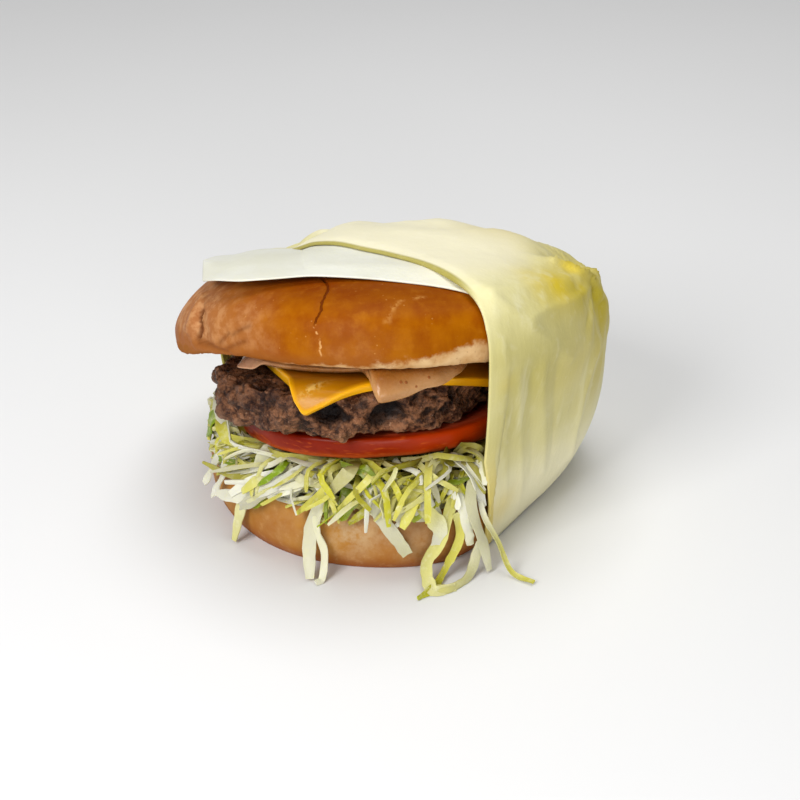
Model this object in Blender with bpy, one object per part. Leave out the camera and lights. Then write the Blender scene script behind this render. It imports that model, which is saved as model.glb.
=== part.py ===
"""A cheeseburger held in a folded paper pocket, resting on its lower bun.

Metres, +Z up. The origin is on the table under the middle of the lower bun. The open front of the
burger looks to -Y, and the paper pocket closes round its right side and back. The layers fan out:
they meet at the back, where the paper squeezes them, and gape at the front.
"""

import math

import bmesh
import bpy
import numpy as np
from mathutils import Vector

GAP = 0.0003  # clear space between pieces that touch
FRONT = -0.050  # the y at which the layers' heights are given

# Lower bun
HEEL_RADIUS = 0.0512
HEEL_BASE_INSET = 0.0024
HEEL_CENTRE = (0.0, -0.0010)
HEEL_WIDEST_HEIGHT = 0.0080
HEEL_FLAT = 0.0434  # how far out the side reaches where the paper flattens it
FLAT_AT = math.radians(-32)  # the way that the flattened side faces
FLAT_SHARPNESS = 16

# Upper bun, in a frame of its own that leans back by CROWN_TILT
CROWN_RADIUS_X = 0.0579
CROWN_RADIUS_Y = 0.0560
CROWN_CENTRE = (-0.0010, -0.0005, 0.0460)
CROWN_TILT = math.radians(17.2)
CROWN_LIP_HEIGHT = 0.0070  # the widest level above the cut face
CROWN_LIP_RADIUS = 0.0032
CROWN_HEIGHT = 0.0226
CROWN_BOXINESS = 2.75
CROWN_LEFT_BOXINESS = 2.25
CROWN_DROOP = 0.0070  # how far the left end hangs below a flat disc
CROWN_DROOP_FROM = 0.036
CROWN_SQUASH = 0.0020  # how much lower the dome is at the back, where the paper presses on it

# Filling layers: height at the front, rise for each metre back, rise for each metre to the right
HEEL_TOP = (0.0180, -0.080, 0.0)
TOMATO_LOW = (0.0332, -0.200, 0.030)
TOMATO_THICKNESS = 0.0060
TOMATO_RADIUS = 0.0385
TOMATO_CENTRE = (-0.0033, -0.0090)
PATTY_LOW = (0.0402, -0.203, 0.030)
PATTY_TOP = (0.0540, -0.268, 0.030)
PATTY_RADIUS = 0.0358
PATTY_CENTRE = (-0.0098, -0.0134)

# Cheese slice, a square that drapes over the patty's rim, most of all at its front corner
CHEESE_SIDE = 0.062
CHEESE_THICKNESS = 0.0027
CHEESE_CORNER = (-0.0218, -0.0553)  # where the front corner would be if the slice lay flat
CHEESE_TURN = math.radians(19)  # the way that its front edge runs
DRAPE_RADIUS = 0.0050
DRAPE_LEAST = math.radians(18)
DRAPE_MOST = math.radians(65)
DRAPE_AT = math.radians(-98)
DRAPE_WIDTH = math.radians(42)

# Sauce between cheese and upper bun, with a lobe that runs over the cheese's front edge
SAUCE_RADIUS = 0.0300
SAUCE_EDGE_THICKNESS = 0.0016
SAUCE_BACK_SHORTER = 0.008  # it ends earlier where the gap closes
SAUCE_LOBE = 0.0105
SAUCE_LOBE_AT = -70.0
SAUCE_LOBE_WIDTH = 19.0
SAUCE_DRIP = 0.0014
SAUCE_DRIP_AT = -76.0
SAUCE_DRIP_WIDTH = 11.0

# Shredded lettuce
CORE_RADIUS = 0.0440
CORE_BACK = 0.026
SHRED_THICKNESS = 0.0009
SHRED_COUNT = 36
SHRED_SEED = 7
EXPOSED_FROM, EXPOSED_TO = -190.0, -61.0  # the azimuths that the paper leaves open

# Paper pocket
PAPER_THICKNESS = 0.0004
POCKET_AXIS = math.radians(49.5)  # the way that the closed end points
POCKET_FLOOR_RADIUS = 0.0525
POCKET_FLAT = 0.0427
POCKET_SLACK = 0.0016
POCKET_BULGE = 0.0042
POCKET_WALL_SHARE = 0.40
POCKET_LIP = 0.0010  # where the wall meets the upper bun's side, above the cut face
POCKET_BOXINESS = 3.3
POCKET_PUFF = 0.0046
# Where the mouth lies: roll round the pocket and angle from its closed end, both in degrees
POCKET_MOUTH = ((0, 105.5), (20, 111), (45, 107), (65, 102), (85, 96.5), (100, 95), (180, 100))
FLAP_RADIUS = 0.0680
FLAP_HEIGHT = 0.0234
FLAP_LEFT, FLAP_RIGHT, FLAP_BACK = -0.0500, 0.026, 0.012
FLAP_FRONT = (-0.0388, -0.135)  # y of the front edge at x = FLAP_BEND, and its change with x
FLAP_BEND = -0.0274
FLAP_CORNER = 0.0145  # how far the left front corner is cut back

HEEL_COLOUR = (0.42, 0.19, 0.05, 1)
CROWN_COLOUR = (0.42, 0.13, 0.01, 1)
PATTY_COLOUR = (0.10, 0.05, 0.03, 1)
CHEESE_COLOUR = (0.80, 0.33, 0.01, 1)
TOMATO_COLOUR = (0.50, 0.04, 0.01, 1)
SAUCE_COLOUR = (0.72, 0.40, 0.22, 1)
LETTUCE_COLOUR = (0.62, 0.70, 0.32, 1)
PAPER_COLOUR = (0.80, 0.74, 0.38, 1)
FLAP_COLOUR = (0.80, 0.80, 0.70, 1)


def clear_scene():
    for thing in list(bpy.data.objects):
        bpy.data.objects.remove(thing)


def material(name, colour, roughness):
    made = bpy.data.materials.new(name)
    made.use_nodes = True
    shader = made.node_tree.nodes["Principled BSDF"]
    shader.inputs["Base Color"].default_value = colour
    shader.inputs["Roughness"].default_value = roughness
    made.diffuse_color = colour
    return made


def level(layer, x, y):
    """The height of a sloping layer at a place in plan."""
    front_height, rise_back, rise_right = layer
    return front_height + rise_back * (y - FRONT) + rise_right * x


def bump_sum(angle, waves):
    """A closed wavy line round a piece: the sum of (waves round, size, phase) sines."""
    return sum(size * math.sin(count * angle + phase) for count, size, phase in waves)


def smooth_step(value):
    held = min(max(value, 0.0), 1.0)
    return held * held * (3 - 2 * held)


def turns(count):
    return [2 * math.pi * i / count for i in range(count)]


def new_object(name, bm, finish):
    bmesh.ops.recalc_face_normals(bm, faces=bm.faces)
    mesh = bpy.data.meshes.new(name)
    bm.to_mesh(mesh)
    bm.free()
    mesh.materials.append(finish)
    made = bpy.data.objects.new(name, mesh)
    bpy.context.scene.collection.objects.link(made)
    mesh.shade_smooth()
    mesh.set_sharp_from_angle(angle=math.radians(40))
    return made


def lofted(name, rings, finish, low_point=None, high_point=None):
    """A closed solid skinned through rings of equal length. An end is closed by a fan to its point,
    or by one flat face where it has no point."""
    bm = bmesh.new()
    made = [[bm.verts.new(p) for p in ring] for ring in rings]
    count = len(made[0])
    for lower, upper in zip(made, made[1:]):
        for i in range(count):
            j = (i + 1) % count
            bm.faces.new((lower[i], lower[j], upper[j], upper[i]))
    for ring, point in ((made[0][::-1], low_point), (made[-1], high_point)):
        if point is None:
            bm.faces.new(ring)
            continue
        middle = bm.verts.new(point)
        for i in range(count):
            bm.faces.new((ring[i], ring[(i + 1) % count], middle))
    return new_object(name, bm, finish)


def flattened(angle, radius, flat):
    """A circle's radius with a straight side that faces FLAT_AT, blended into each other."""
    facing = math.cos(angle - FLAT_AT)
    if facing <= 0.05:
        return radius
    sharp = FLAT_SHARPNESS
    return (radius**-sharp + (flat / facing) ** -sharp) ** (-1 / sharp)


def heel_radius(angle):
    """The lower bun's outline at its widest, pressed flat where the paper wraps round it."""
    waves = ((2, 0.0004, 0.6), (3, 0.0003, 2.1), (5, 0.0002, 0.3))
    return flattened(angle, HEEL_RADIUS, HEEL_FLAT) + bump_sum(angle, waves)


def heel_side(angle, height):
    """The lower bun's radius at a height, from its rounded foot to its cut edge."""
    top = level(HEEL_TOP, *heel_place(angle, HEEL_RADIUS))
    if height < HEEL_WIDEST_HEIGHT:
        part = 1 - height / HEEL_WIDEST_HEIGHT
        return heel_radius(angle) - HEEL_BASE_INSET * part**2.6
    part = min((height - HEEL_WIDEST_HEIGHT) / (top - HEEL_WIDEST_HEIGHT), 1)
    return heel_radius(angle) - 0.0026 * part**2


def heel_place(angle, radius):
    return (
        HEEL_CENTRE[0] + radius * math.cos(angle),
        HEEL_CENTRE[1] + radius * math.sin(angle),
    )


def make_heel():
    """The lower bun: a flat foot, a bulging browned side and a cut top that slopes to the back."""
    segments = 48
    foot_heights = (0.0, 0.0012, 0.0035)
    side_shares = (0.0, 0.35, 0.65, 0.88, 1.0)

    def ring_at(height_of, inset=0.0):
        ring = []
        for angle in turns(segments):
            height = height_of(angle)
            x, y = heel_place(angle, heel_side(angle, height) - inset)
            ring.append((x, y, height))
        return ring

    def side_height(share):
        def of_angle(angle):
            top = level(HEEL_TOP, *heel_place(angle, HEEL_RADIUS))
            return HEEL_WIDEST_HEIGHT + share * (top - HEEL_WIDEST_HEIGHT)

        return of_angle

    rings = [ring_at(lambda angle, h=h: h) for h in foot_heights]
    rings += [ring_at(side_height(share)) for share in side_shares[:-1]]
    rings.append([(x, y, level(HEEL_TOP, x, y)) for x, y, _ in ring_at(side_height(1), 0.0006)])
    rings.append(
        [(x, y, level(HEEL_TOP, x, y)) for x, y, _ in ring_at(side_height(1), 0.012)]
    )
    finish = material("heel_crust", HEEL_COLOUR, 0.5)
    foot = (*HEEL_CENTRE, 0.0)
    top = (*HEEL_CENTRE, level(HEEL_TOP, *HEEL_CENTRE))
    return lofted("bun_heel", rings, finish, foot, top)


def crown_point(x, y, z):
    """A place in the upper bun's leaning frame, as a world point. The frame's left end hangs down,
    and its back is pressed flatter."""
    past = max(-x - CROWN_DROOP_FROM, 0.0) / (CROWN_RADIUS_X - CROWN_DROOP_FROM)
    z -= CROWN_SQUASH * z / CROWN_HEIGHT * smooth_step((y + 0.020) / 0.045)
    z -= CROWN_DROOP * past**2
    cos, sin = math.cos(CROWN_TILT), math.sin(CROWN_TILT)
    cx, cy, cz = CROWN_CENTRE
    return (cx + x, cy + y * cos + z * sin, cz - y * sin + z * cos)


def crown_place(angle, radius, height):
    """The same by azimuth and radius."""
    return crown_point(radius * math.cos(angle), radius * math.sin(angle), height)


def crown_outline(angle):
    """The upper bun's radius in its own plane: an oval with a squarer left end."""
    cos, sin = math.cos(angle), math.sin(angle)
    oval = 1 / math.hypot(cos / CROWN_RADIUS_X, sin / CROWN_RADIUS_Y)
    return oval + bump_sum(angle, ((3, 0.0005, 0.4), (4, 0.0006, 1.2), (7, 0.0002, 2.0)))


def crown_boxiness(angle):
    """How square the dome's shoulder is: less so at the left end."""
    return CROWN_BOXINESS - (CROWN_BOXINESS - CROWN_LEFT_BOXINESS) * max(-math.cos(angle), 0) ** 2


def crown_dome(x, y):
    """The dome's height above the cut face at a place in the upper bun's own plane."""
    angle = math.atan2(y, x)
    share = min(math.hypot(x, y) / crown_outline(angle), 0.985)
    power = crown_boxiness(angle)
    return CROWN_LIP_HEIGHT + (CROWN_HEIGHT - CROWN_LIP_HEIGHT) * (1 - share**power) ** (1 / power)


def crown_dent(angle, lift):
    """Folds in the crust at the left end, where the bun was bent: depth by azimuth and by how far
    up the side the place is, from 0 at the lip to 1 on top."""
    depth = 0.0
    for at, width, size in ((-158.0, 3.5, 0.0016), (-146.0, 3.0, 0.0007), (-137.0, 3.0, 0.0006)):
        off = (math.degrees(angle) - at + 180) % 360 - 180
        depth += size * math.exp(-((off / width) ** 2))
    return depth * math.sin(math.pi * min(max(lift, 0.0), 1.0)) ** 0.5


def make_crown():
    """The upper bun: a cut face, a rounded lip and a low boxy dome."""
    segments = 60
    rings = []
    for inset in (0.020, 0.011, 0.006, CROWN_LIP_RADIUS):
        rings.append([crown_place(a, crown_outline(a) - inset, 0) for a in turns(segments)])
    for share in (0.35, 0.7, 1.0):
        turn = share * math.pi / 2
        inset = CROWN_LIP_RADIUS * (1 - math.sin(turn))
        height = CROWN_LIP_HEIGHT * (1 - math.cos(turn))
        rings.append([crown_place(a, crown_outline(a) - inset, height) for a in turns(segments)])
    dome = CROWN_HEIGHT - CROWN_LIP_HEIGHT
    for share in (0.14, 0.28, 0.42, 0.55, 0.68, 0.80, 0.91):
        turn = share * math.pi / 2
        ring = []
        for a in turns(segments):
            power = 2 / crown_boxiness(a)
            radius = crown_outline(a) * math.cos(turn) ** power - crown_dent(a, share)
            height = CROWN_LIP_HEIGHT + dome * math.sin(turn) ** power
            ring.append(crown_place(a, radius, height))
        rings.append(ring)
    finish = material("crown_crust", CROWN_COLOUR, 0.35)
    return lofted(
        "bun_crown", rings, finish, crown_point(0, 0, 0), crown_point(0, 0, CROWN_HEIGHT)
    )


def make_tomato():
    """A round slice lying on the lettuce, its skin edge a little rounded."""
    segments = 48
    edge = 0.0012
    profile = (
        (-edge, 0.0),
        (0.0, edge),
        (0.0004, TOMATO_THICKNESS / 2),
        (0.0, TOMATO_THICKNESS - edge),
        (-edge, TOMATO_THICKNESS),
    )
    rings = []
    for outset, lift in profile:
        ring = []
        for a in turns(segments):
            radius = TOMATO_RADIUS + outset + bump_sum(a, ((2, 0.0005, 1.0), (5, 0.0003, 0.2)))
            x = TOMATO_CENTRE[0] + radius * math.cos(a)
            y = TOMATO_CENTRE[1] + radius * math.sin(a)
            ring.append((x, y, level(TOMATO_LOW, x, y) + lift))
        rings.append(ring)
    middle = level(TOMATO_LOW, *TOMATO_CENTRE)
    finish = material("tomato_flesh", TOMATO_COLOUR, 0.25)
    low, high = (*TOMATO_CENTRE, middle), (*TOMATO_CENTRE, middle + TOMATO_THICKNESS)
    return lofted("tomato_slice", rings, finish, low, high)


def patty_edge(angle, share=0.5):
    """The patty's radius by azimuth and by height share: lumpy, with crags that lean and shift."""
    lean = 1.9 * share
    waves = (
        (2, 0.0007, 0.5),
        (3, 0.0009, 2.2),
        (7, 0.0007, 1.0 + lean),
        (11, 0.0006, 0.4 - 2 * lean),
        (17, 0.0004, 3.0 * lean),
    )
    return PATTY_RADIUS + bump_sum(angle, waves)


def make_patty():
    """The beef patty: crusty top and foot, and a craggy bulging side."""
    segments = 52
    profile = ((-0.014, 0.0), (-0.0030, 0.0), (-0.0006, 0.10), (0.0012, 0.30), (0.0016, 0.50),
               (0.0010, 0.70), (-0.0006, 0.88), (-0.0030, 1.0), (-0.014, 1.0))
    rings = []
    for outset, share in profile:
        ring = []
        for a in turns(segments):
            radius = patty_edge(a, share) + outset
            x = PATTY_CENTRE[0] + radius * math.cos(a)
            y = PATTY_CENTRE[1] + radius * math.sin(a)
            low, high = level(PATTY_LOW, x, y), level(PATTY_TOP, x, y)
            ring.append((x, y, low + share * (high - low)))
        rings.append(ring)
    low = level(PATTY_LOW, *PATTY_CENTRE)
    high = level(PATTY_TOP, *PATTY_CENTRE)
    finish = material("seared_beef", PATTY_COLOUR, 0.7)
    return lofted("beef_patty", rings, finish, (*PATTY_CENTRE, low), (*PATTY_CENTRE, high))


def draped(x, y, lift):
    """A place on a sheet laid over the patty: flat inside its rim, then bent down by an arc of
    DRAPE_RADIUS and straight on. It bends most at the front. Lift is the height above the sheet,
    square to it."""
    dx, dy = x - PATTY_CENTRE[0], y - PATTY_CENTRE[1]
    reach = math.hypot(dx, dy)
    rim = PATTY_RADIUS - 0.0015
    past = reach - rim
    if past <= 0:
        return (x, y, level(PATTY_TOP, x, y) + lift)
    off = (math.atan2(dy, dx) - DRAPE_AT + math.pi) % (2 * math.pi) - math.pi
    steepest = DRAPE_LEAST + (DRAPE_MOST - DRAPE_LEAST) * math.exp(-((off / DRAPE_WIDTH) ** 2))
    bend = min(past / DRAPE_RADIUS, steepest)
    straight = past - bend * DRAPE_RADIUS
    out = DRAPE_RADIUS * math.sin(bend) + straight * math.cos(bend) + lift * math.sin(bend)
    down = DRAPE_RADIUS * (1 - math.cos(bend)) + straight * math.sin(bend)
    ux, uy = dx / reach, dy / reach
    x, y = PATTY_CENTRE[0] + ux * (rim + out), PATTY_CENTRE[1] + uy * (rim + out)
    return (x, y, level(PATTY_TOP, x, y) - down + lift * math.cos(bend))


def cheese_axes():
    """The directions of the slice's front edge and left edge, out of its front corner."""
    along = (math.cos(CHEESE_TURN), math.sin(CHEESE_TURN))
    return along, (-along[1], along[0])


def cheese_place(along_share, across_share):
    """A place of the slice as it would lie flat, by its shares of the two edges."""
    along, across = cheese_axes()
    p, q = CHEESE_SIDE * along_share, CHEESE_SIDE * across_share
    return (
        CHEESE_CORNER[0] + p * along[0] + q * across[0],
        CHEESE_CORNER[1] + p * along[1] + q * across[1],
    )


def past_cheese(x, y):
    """How far outside the flat slice's square a place is, negative inside."""
    along, across = cheese_axes()
    dx, dy = x - CHEESE_CORNER[0], y - CHEESE_CORNER[1]
    half = CHEESE_SIDE / 2
    a = abs(dx * along[0] + dy * along[1] - half)
    b = abs(dx * across[0] + dy * across[1] - half)
    return max(a, b) - half


def make_cheese():
    """One square slice, draped over the patty so that its front corner hangs down."""
    cells = 16
    bm = bmesh.new()
    layers = [
        [
            [
                bm.verts.new(draped(*cheese_place(i / cells, j / cells), lift))
                for j in range(cells + 1)
            ]
            for i in range(cells + 1)
        ]
        for lift in (2 * GAP, 2 * GAP + CHEESE_THICKNESS)
    ]
    close_two_layers(bm, *layers)
    return new_object("cheese_slice", bm, material("cheese", CHEESE_COLOUR, 0.3))


def close_two_layers(bm, low, high):
    """Faces both grids of vertices and joins them round their edge."""
    rows, columns = len(low), len(low[0])
    for i in range(rows - 1):
        for j in range(columns - 1):
            bm.faces.new((low[i][j], low[i][j + 1], low[i + 1][j + 1], low[i + 1][j]))
            bm.faces.new((high[i][j], high[i + 1][j], high[i + 1][j + 1], high[i][j + 1]))
    edge = [(0, j) for j in range(columns)] + [(i, columns - 1) for i in range(1, rows)]
    edge += [(rows - 1, j) for j in range(columns - 2, -1, -1)]
    edge += [(i, 0) for i in range(rows - 2, 0, -1)]
    for (i, j), (k, m) in zip(edge, edge[1:] + edge[:1]):
        bm.faces.new((low[i][j], high[i][j], high[k][m], low[k][m]))


def crown_underside(x, y):
    """The height of the upper bun's cut face at a place in plan."""
    slope = math.tan(CROWN_TILT)
    past = max(-x + CROWN_CENTRE[0] - CROWN_DROOP_FROM, 0.0)
    droop = CROWN_DROOP * (past / (CROWN_RADIUS_X - CROWN_DROOP_FROM)) ** 2
    return CROWN_CENTRE[2] - slope * (y - CROWN_CENTRE[1]) - droop


def sauce_edge(angle):
    """The sauce's outline round the patty's middle, with its lobe and the drip on it."""
    def off(at, width):
        return ((math.degrees(angle) - at + 180) % 360 - 180) / width

    lobe = SAUCE_LOBE * math.exp(-(off(SAUCE_LOBE_AT, SAUCE_LOBE_WIDTH) ** 4))
    drip = SAUCE_DRIP * math.exp(-(off(SAUCE_DRIP_AT, SAUCE_DRIP_WIDTH) ** 2))
    waves = ((3, 0.0009, 0.7), (5, 0.0007, 2.0), (8, 0.0004, 1.1))
    back = SAUCE_BACK_SHORTER * max(math.sin(angle), 0)
    return SAUCE_RADIUS + lobe + drip - back + bump_sum(angle, waves)


def sauce_floor(x, y):
    """How far above the patty the sauce lies: on the cheese, or nearer the beef past its edge."""
    reach = math.hypot(x - PATTY_CENTRE[0], y - PATTY_CENTRE[1])
    on_cheese = CHEESE_THICKNESS + GAP * (3 + 3 * smooth_step((reach - PATTY_RADIUS) / 0.004 + 2))
    return on_cheese - 0.0018 * smooth_step((past_cheese(x, y) - 0.0032) / 0.0030)


def make_sauce():
    """The spread between cheese and bun: it fills the wedge, thins to its edge and runs over it."""
    segments = 64
    shares = (0.30, 0.58, 0.76, 0.82, 0.88, 0.94, 1.0)

    def place(angle, share):
        radius = sauce_edge(angle) * share
        return (
            PATTY_CENTRE[0] + radius * math.cos(angle),
            PATTY_CENTRE[1] + radius * math.sin(angle),
        )

    def upper(x, y, share):
        thickness = SAUCE_EDGE_THICKNESS + 0.012 * smooth_step((1 - share) / 0.42)
        point = draped(x, y, sauce_floor(x, y) + thickness)
        roof = crown_underside(point[0], point[1]) - 2 * GAP
        return (point[0], point[1], min(point[2], roof))

    low = [[draped(*place(a, s), sauce_floor(*place(a, s))) for a in turns(segments)] for s in shares]
    high = [[upper(*place(a, s), s) for a in turns(segments)] for s in shares]
    middle = draped(*PATTY_CENTRE, sauce_floor(*PATTY_CENTRE))
    top = upper(*PATTY_CENTRE, 0)
    finish = material("sauce", SAUCE_COLOUR, 0.3)
    return lofted("sauce_layer", low + high[::-1], finish, middle, top)


def core_roof(x, y):
    """The underside of the tomato, which the lettuce fills up to."""
    return level(TOMATO_LOW, x, y) - GAP


def make_lettuce_core(finish):
    """The packed lettuce between lower bun and tomato: a wedge that opens to the front."""
    segments = 40
    outline = []
    for a in turns(segments):
        radius = CORE_RADIUS + bump_sum(a, ((4, 0.0010, 0.2), (7, 0.0009, 1.5)))
        x = radius * math.cos(a)
        y = min(HEEL_CENTRE[1] + radius * math.sin(a), CORE_BACK + 0.001 * math.cos(a))
        outline.append((x, y))

    def ring(inset, share):
        made = []
        for x, y in outline:
            x, y = x * (1 - inset), y * (1 - inset)
            low, high = level(HEEL_TOP, x, y) + GAP, core_roof(x, y)
            made.append((x, y, low + share * (high - low)))
        return made

    rings = [ring(0.05, 0.0), ring(0.0, 0.3), ring(0.0, 0.7), ring(0.05, 1.0)]
    low = (0.0, -0.01, level(HEEL_TOP, 0, -0.01) + GAP)
    high = (0.0, -0.01, core_roof(0, -0.01))
    return lofted("lettuce", rings, finish, low, high)


def curve_through(points, count):
    """Evenly numbered points on a Catmull-Rom curve through a few."""
    given = np.array([2 * np.array(points[0]) - points[1], *points, 2 * np.array(points[-1]) - points[-2]])
    made = []
    for step in np.linspace(0, len(points) - 1, count):
        i = min(int(step), len(points) - 2)
        t = step - i
        a, b, c, d = given[i : i + 4]
        made.append(0.5 * (2 * b + (c - a) * t + (2 * a - 5 * b + 4 * c - d) * t**2
                           + (3 * b - a - 3 * c + d) * t**3))
    return np.array(made)


def shred_path(azimuth, rim_height, drift, end_height, reach, count):
    """A shred's line: from inside the heap, out over the rim and down to its end. It keeps clear of
    the lower bun's side and of the table."""
    def station(turn, radius, height):
        angle = math.radians(turn)
        x, y = heel_place(angle, radius)
        return (x, y, height)

    middle = 0.5 * (rim_height + end_height)
    points = (
        station(azimuth - 0.5 * drift, 0.036, rim_height - 0.001),
        station(azimuth, 0.0495, rim_height),
        station(azimuth + 0.55 * drift, 0.5 * (0.0525 + reach), middle + 0.15 * (rim_height - end_height)),
        station(azimuth + drift, reach, end_height),
    )
    line = curve_through(points, count)
    clearance = 0.0011
    for point in line:
        dx, dy = point[0] - HEEL_CENTRE[0], point[1] - HEEL_CENTRE[1]
        angle, radius = math.atan2(dy, dx), math.hypot(dx, dy)
        top = level(HEEL_TOP, point[0], point[1])
        if point[2] < top + 0.0018 and radius > 0.047:
            least = heel_side(angle, min(point[2], top)) + clearance
            radius = max(radius, least)
            point[0], point[1] = heel_place(angle, radius)
        if radius < 0.047:
            point[2] = min(point[2], core_roof(point[0], point[1]) - 0.0030)
        point[2] = max(point[2], SHRED_THICKNESS / 2 + 0.0001)
    return line


def make_shred(name, line, width, twist, finish):
    """A flat strip along a line, its face turned outwards and twisted on the way, with a narrow end."""
    rings = []
    count = len(line)
    for i, point in enumerate(line):
        ahead = Vector(line[min(i + 1, count - 1)]) - Vector(line[max(i - 1, 0)])
        ahead.normalize()
        outward = Vector((point[0], point[1] + 0.0, 0.02))
        side = ahead.cross(outward).normalized()
        face = side.cross(ahead).normalized()
        turn = math.radians(twist) * i / (count - 1)
        across = side * math.cos(turn) + face * math.sin(turn)
        through = face * math.cos(turn) - side * math.sin(turn)
        half = 0.5 * width * (1 - 0.55 * max(0, (i / (count - 1) - 0.6) / 0.4) ** 2)
        deep = 0.5 * SHRED_THICKNESS
        middle = Vector(point)
        rings.append([
            middle + across * a * half + through * b * deep
            for a, b in ((-1, -1), (1, -1), (1, 1), (-1, 1))
        ])
    return lofted(name, rings, finish)


# The long shreds that hang at the front: azimuth at the rim, height there, sideways drift, height
# of the end, radius of the end, width, twist
LONG_SHREDS = (
    (-132.0, 0.0270, -7.0, 0.0010, 0.0556, 0.0042, -8),
    (-118.0, 0.0265, -21.0, 0.0137, 0.0545, 0.0038, 8),
    (-107.0, 0.0265, -2.0, 0.0010, 0.0584, 0.0044, 8),
    (-98.0, 0.0245, 11.0, 0.0090, 0.0545, 0.0036, -10),
    (-76.0, 0.0310, -10.0, 0.0240, 0.0500, 0.0044, 6),
    (-71.0, 0.0240, -8.0, 0.0010, 0.0607, 0.0042, 8),
    (-68.5, 0.0225, -12.0, 0.0010, 0.0628, 0.0034, 0),
    (-67.0, 0.0260, 11.0, 0.0010, 0.0675, 0.0026, 0),
    (-68.0, 0.0230, 1.0, 0.0135, 0.0545, 0.0034, 10),
    (-152.0, 0.0240, -10.0, 0.0130, 0.0550, 0.0034, 10),
    (-166.0, 0.0260, -9.0, 0.0150, 0.0540, 0.0060, 10),
)


def make_lettuce():
    """The heap of shreds: the packed core with the strips that show, joined into one body."""
    finish = material("lettuce", LETTUCE_COLOUR, 0.4)
    core = make_lettuce_core(finish)
    strips = bpy.data.collections.new("shreds")
    bpy.context.scene.collection.children.link(strips)
    draw = np.random.default_rng(SHRED_SEED)
    shreds = []
    for azimuth, height, drift, end, reach, width, twist in LONG_SHREDS:
        shreds.append((shred_path(azimuth, height, drift, end, reach, 7), width, twist))
    for i in range(SHRED_COUNT):
        share = (i + draw.uniform(-0.3, 0.3)) / SHRED_COUNT
        azimuth = EXPOSED_FROM + (EXPOSED_TO - EXPOSED_FROM) * share
        rim = heel_place(math.radians(azimuth), 0.049)
        low = level(HEEL_TOP, *rim) + 0.0025
        high = max(core_roof(*rim) - 0.0030, low + 0.002)
        rim_height = draw.uniform(low, high)
        drift = draw.uniform(-11, 11)
        reach = draw.uniform(0.0525, 0.0590)
        if azimuth < -150:
            reach = min(reach, 0.0550)
        if azimuth > -68:
            reach, drift = 0.0505, -abs(drift) - 1
        end = max(rim_height - draw.uniform(0.000, 0.011), 0.006)
        width = draw.uniform(0.0022, 0.0042)
        shreds.append((shred_path(azimuth, rim_height, drift, end, reach, 4), width, draw.uniform(-25, 25)))
    for number, (line, width, twist) in enumerate(shreds):
        strip = make_shred(f"shred_{number}", line, width, twist, finish)
        bpy.context.scene.collection.objects.unlink(strip)
        strips.objects.link(strip)
    join_collection(core, strips)
    return core


def join_collection(body, collection):
    """Unites a body with every object of a collection, keeps the one joined solid and clears up."""
    union = body.modifiers.new("join", "BOOLEAN")
    union.operation = "UNION"
    union.operand_type = "COLLECTION"
    union.collection = collection
    union.solver = "MANIFOLD"
    bpy.context.view_layer.update()
    joined = bpy.data.meshes.new_from_object(body.evaluated_get(bpy.context.evaluated_depsgraph_get()))
    body.modifiers.clear()
    body.data = joined
    keep_largest(joined)
    for strip in list(collection.objects):
        bpy.data.objects.remove(strip)
    bpy.data.collections.remove(collection)


def keep_largest(mesh):
    """Drops every part of a mesh but the largest: loose scraps and sealed hollows. Faces are of one
    part where they share an edge."""
    bm = bmesh.new()
    bm.from_mesh(mesh)
    left, parts = set(bm.faces), []
    while left:
        found, ahead = [], [left.pop()]
        while ahead:
            face = ahead.pop()
            found.append(face)
            for edge in face.edges:
                for other in edge.link_faces:
                    if other in left:
                        left.remove(other)
                        ahead.append(other)
        parts.append(found)
    parts.sort(key=len)
    for scrap in parts[:-1]:
        bmesh.ops.delete(bm, geom=scrap, context="FACES")
    bmesh.ops.triangulate(bm, faces=bm.faces)
    bm.to_mesh(mesh)
    bm.free()


def pocket_mouth(roll):
    """How far the paper reaches from its closed end to its mouth, as an angle on a unit sphere,
    by the roll round the pocket: 0 at the right foot, a quarter turn on top, a half turn at left."""
    rolls, reaches = zip(*POCKET_MOUTH)
    return math.radians(float(np.interp(math.degrees(roll), rolls, reaches)))


def pocket_place(azimuth, rise):
    """A point of the paper. Azimuth goes round the burger. Rise goes from 0 at the table, up the
    bulging wall to the upper bun's widest line, and over the shoulder to 1 on top."""
    foot = (*heel_place(azimuth, flattened(azimuth, POCKET_FLOOR_RADIUS, POCKET_FLAT)), PAPER_THICKNESS)
    outline = crown_outline(azimuth) + POCKET_SLACK
    if rise < POCKET_WALL_SHARE:
        share = rise / POCKET_WALL_SHARE
        head = crown_place(azimuth, outline, POCKET_LIP)
        from_mouth = (math.degrees(azimuth) + 58) % 360
        fullness = smooth_step(from_mouth / 50) * (1 - 0.6 * smooth_step((from_mouth - 85) / 60))
        bulge = POCKET_BULGE * fullness * math.sin(math.pi * share**0.75)
        x, y, z = (a + (b - a) * share for a, b in zip(foot, head))
        return (x + bulge * math.cos(azimuth), y + bulge * math.sin(azimuth), z)
    turn = (rise - POCKET_WALL_SHARE) / (1 - POCKET_WALL_SHARE) * math.pi / 2
    reach = outline * max(math.cos(turn), 0.0) ** (2 / POCKET_BOXINESS)
    top = FLAP_HEIGHT + PAPER_THICKNESS + 4 * GAP - POCKET_LIP
    height = POCKET_LIP + top * math.sin(turn) ** (2 / POCKET_BOXINESS)
    x, y = reach * math.cos(azimuth), reach * math.sin(azimuth)
    puff = POCKET_PUFF * smooth_step((x + 0.024) / 0.016) * smooth_step((turn - 0.5) / 0.9)
    return crown_point(x, y, height + puff * smooth_step((y + 0.030) / 0.040))


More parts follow.
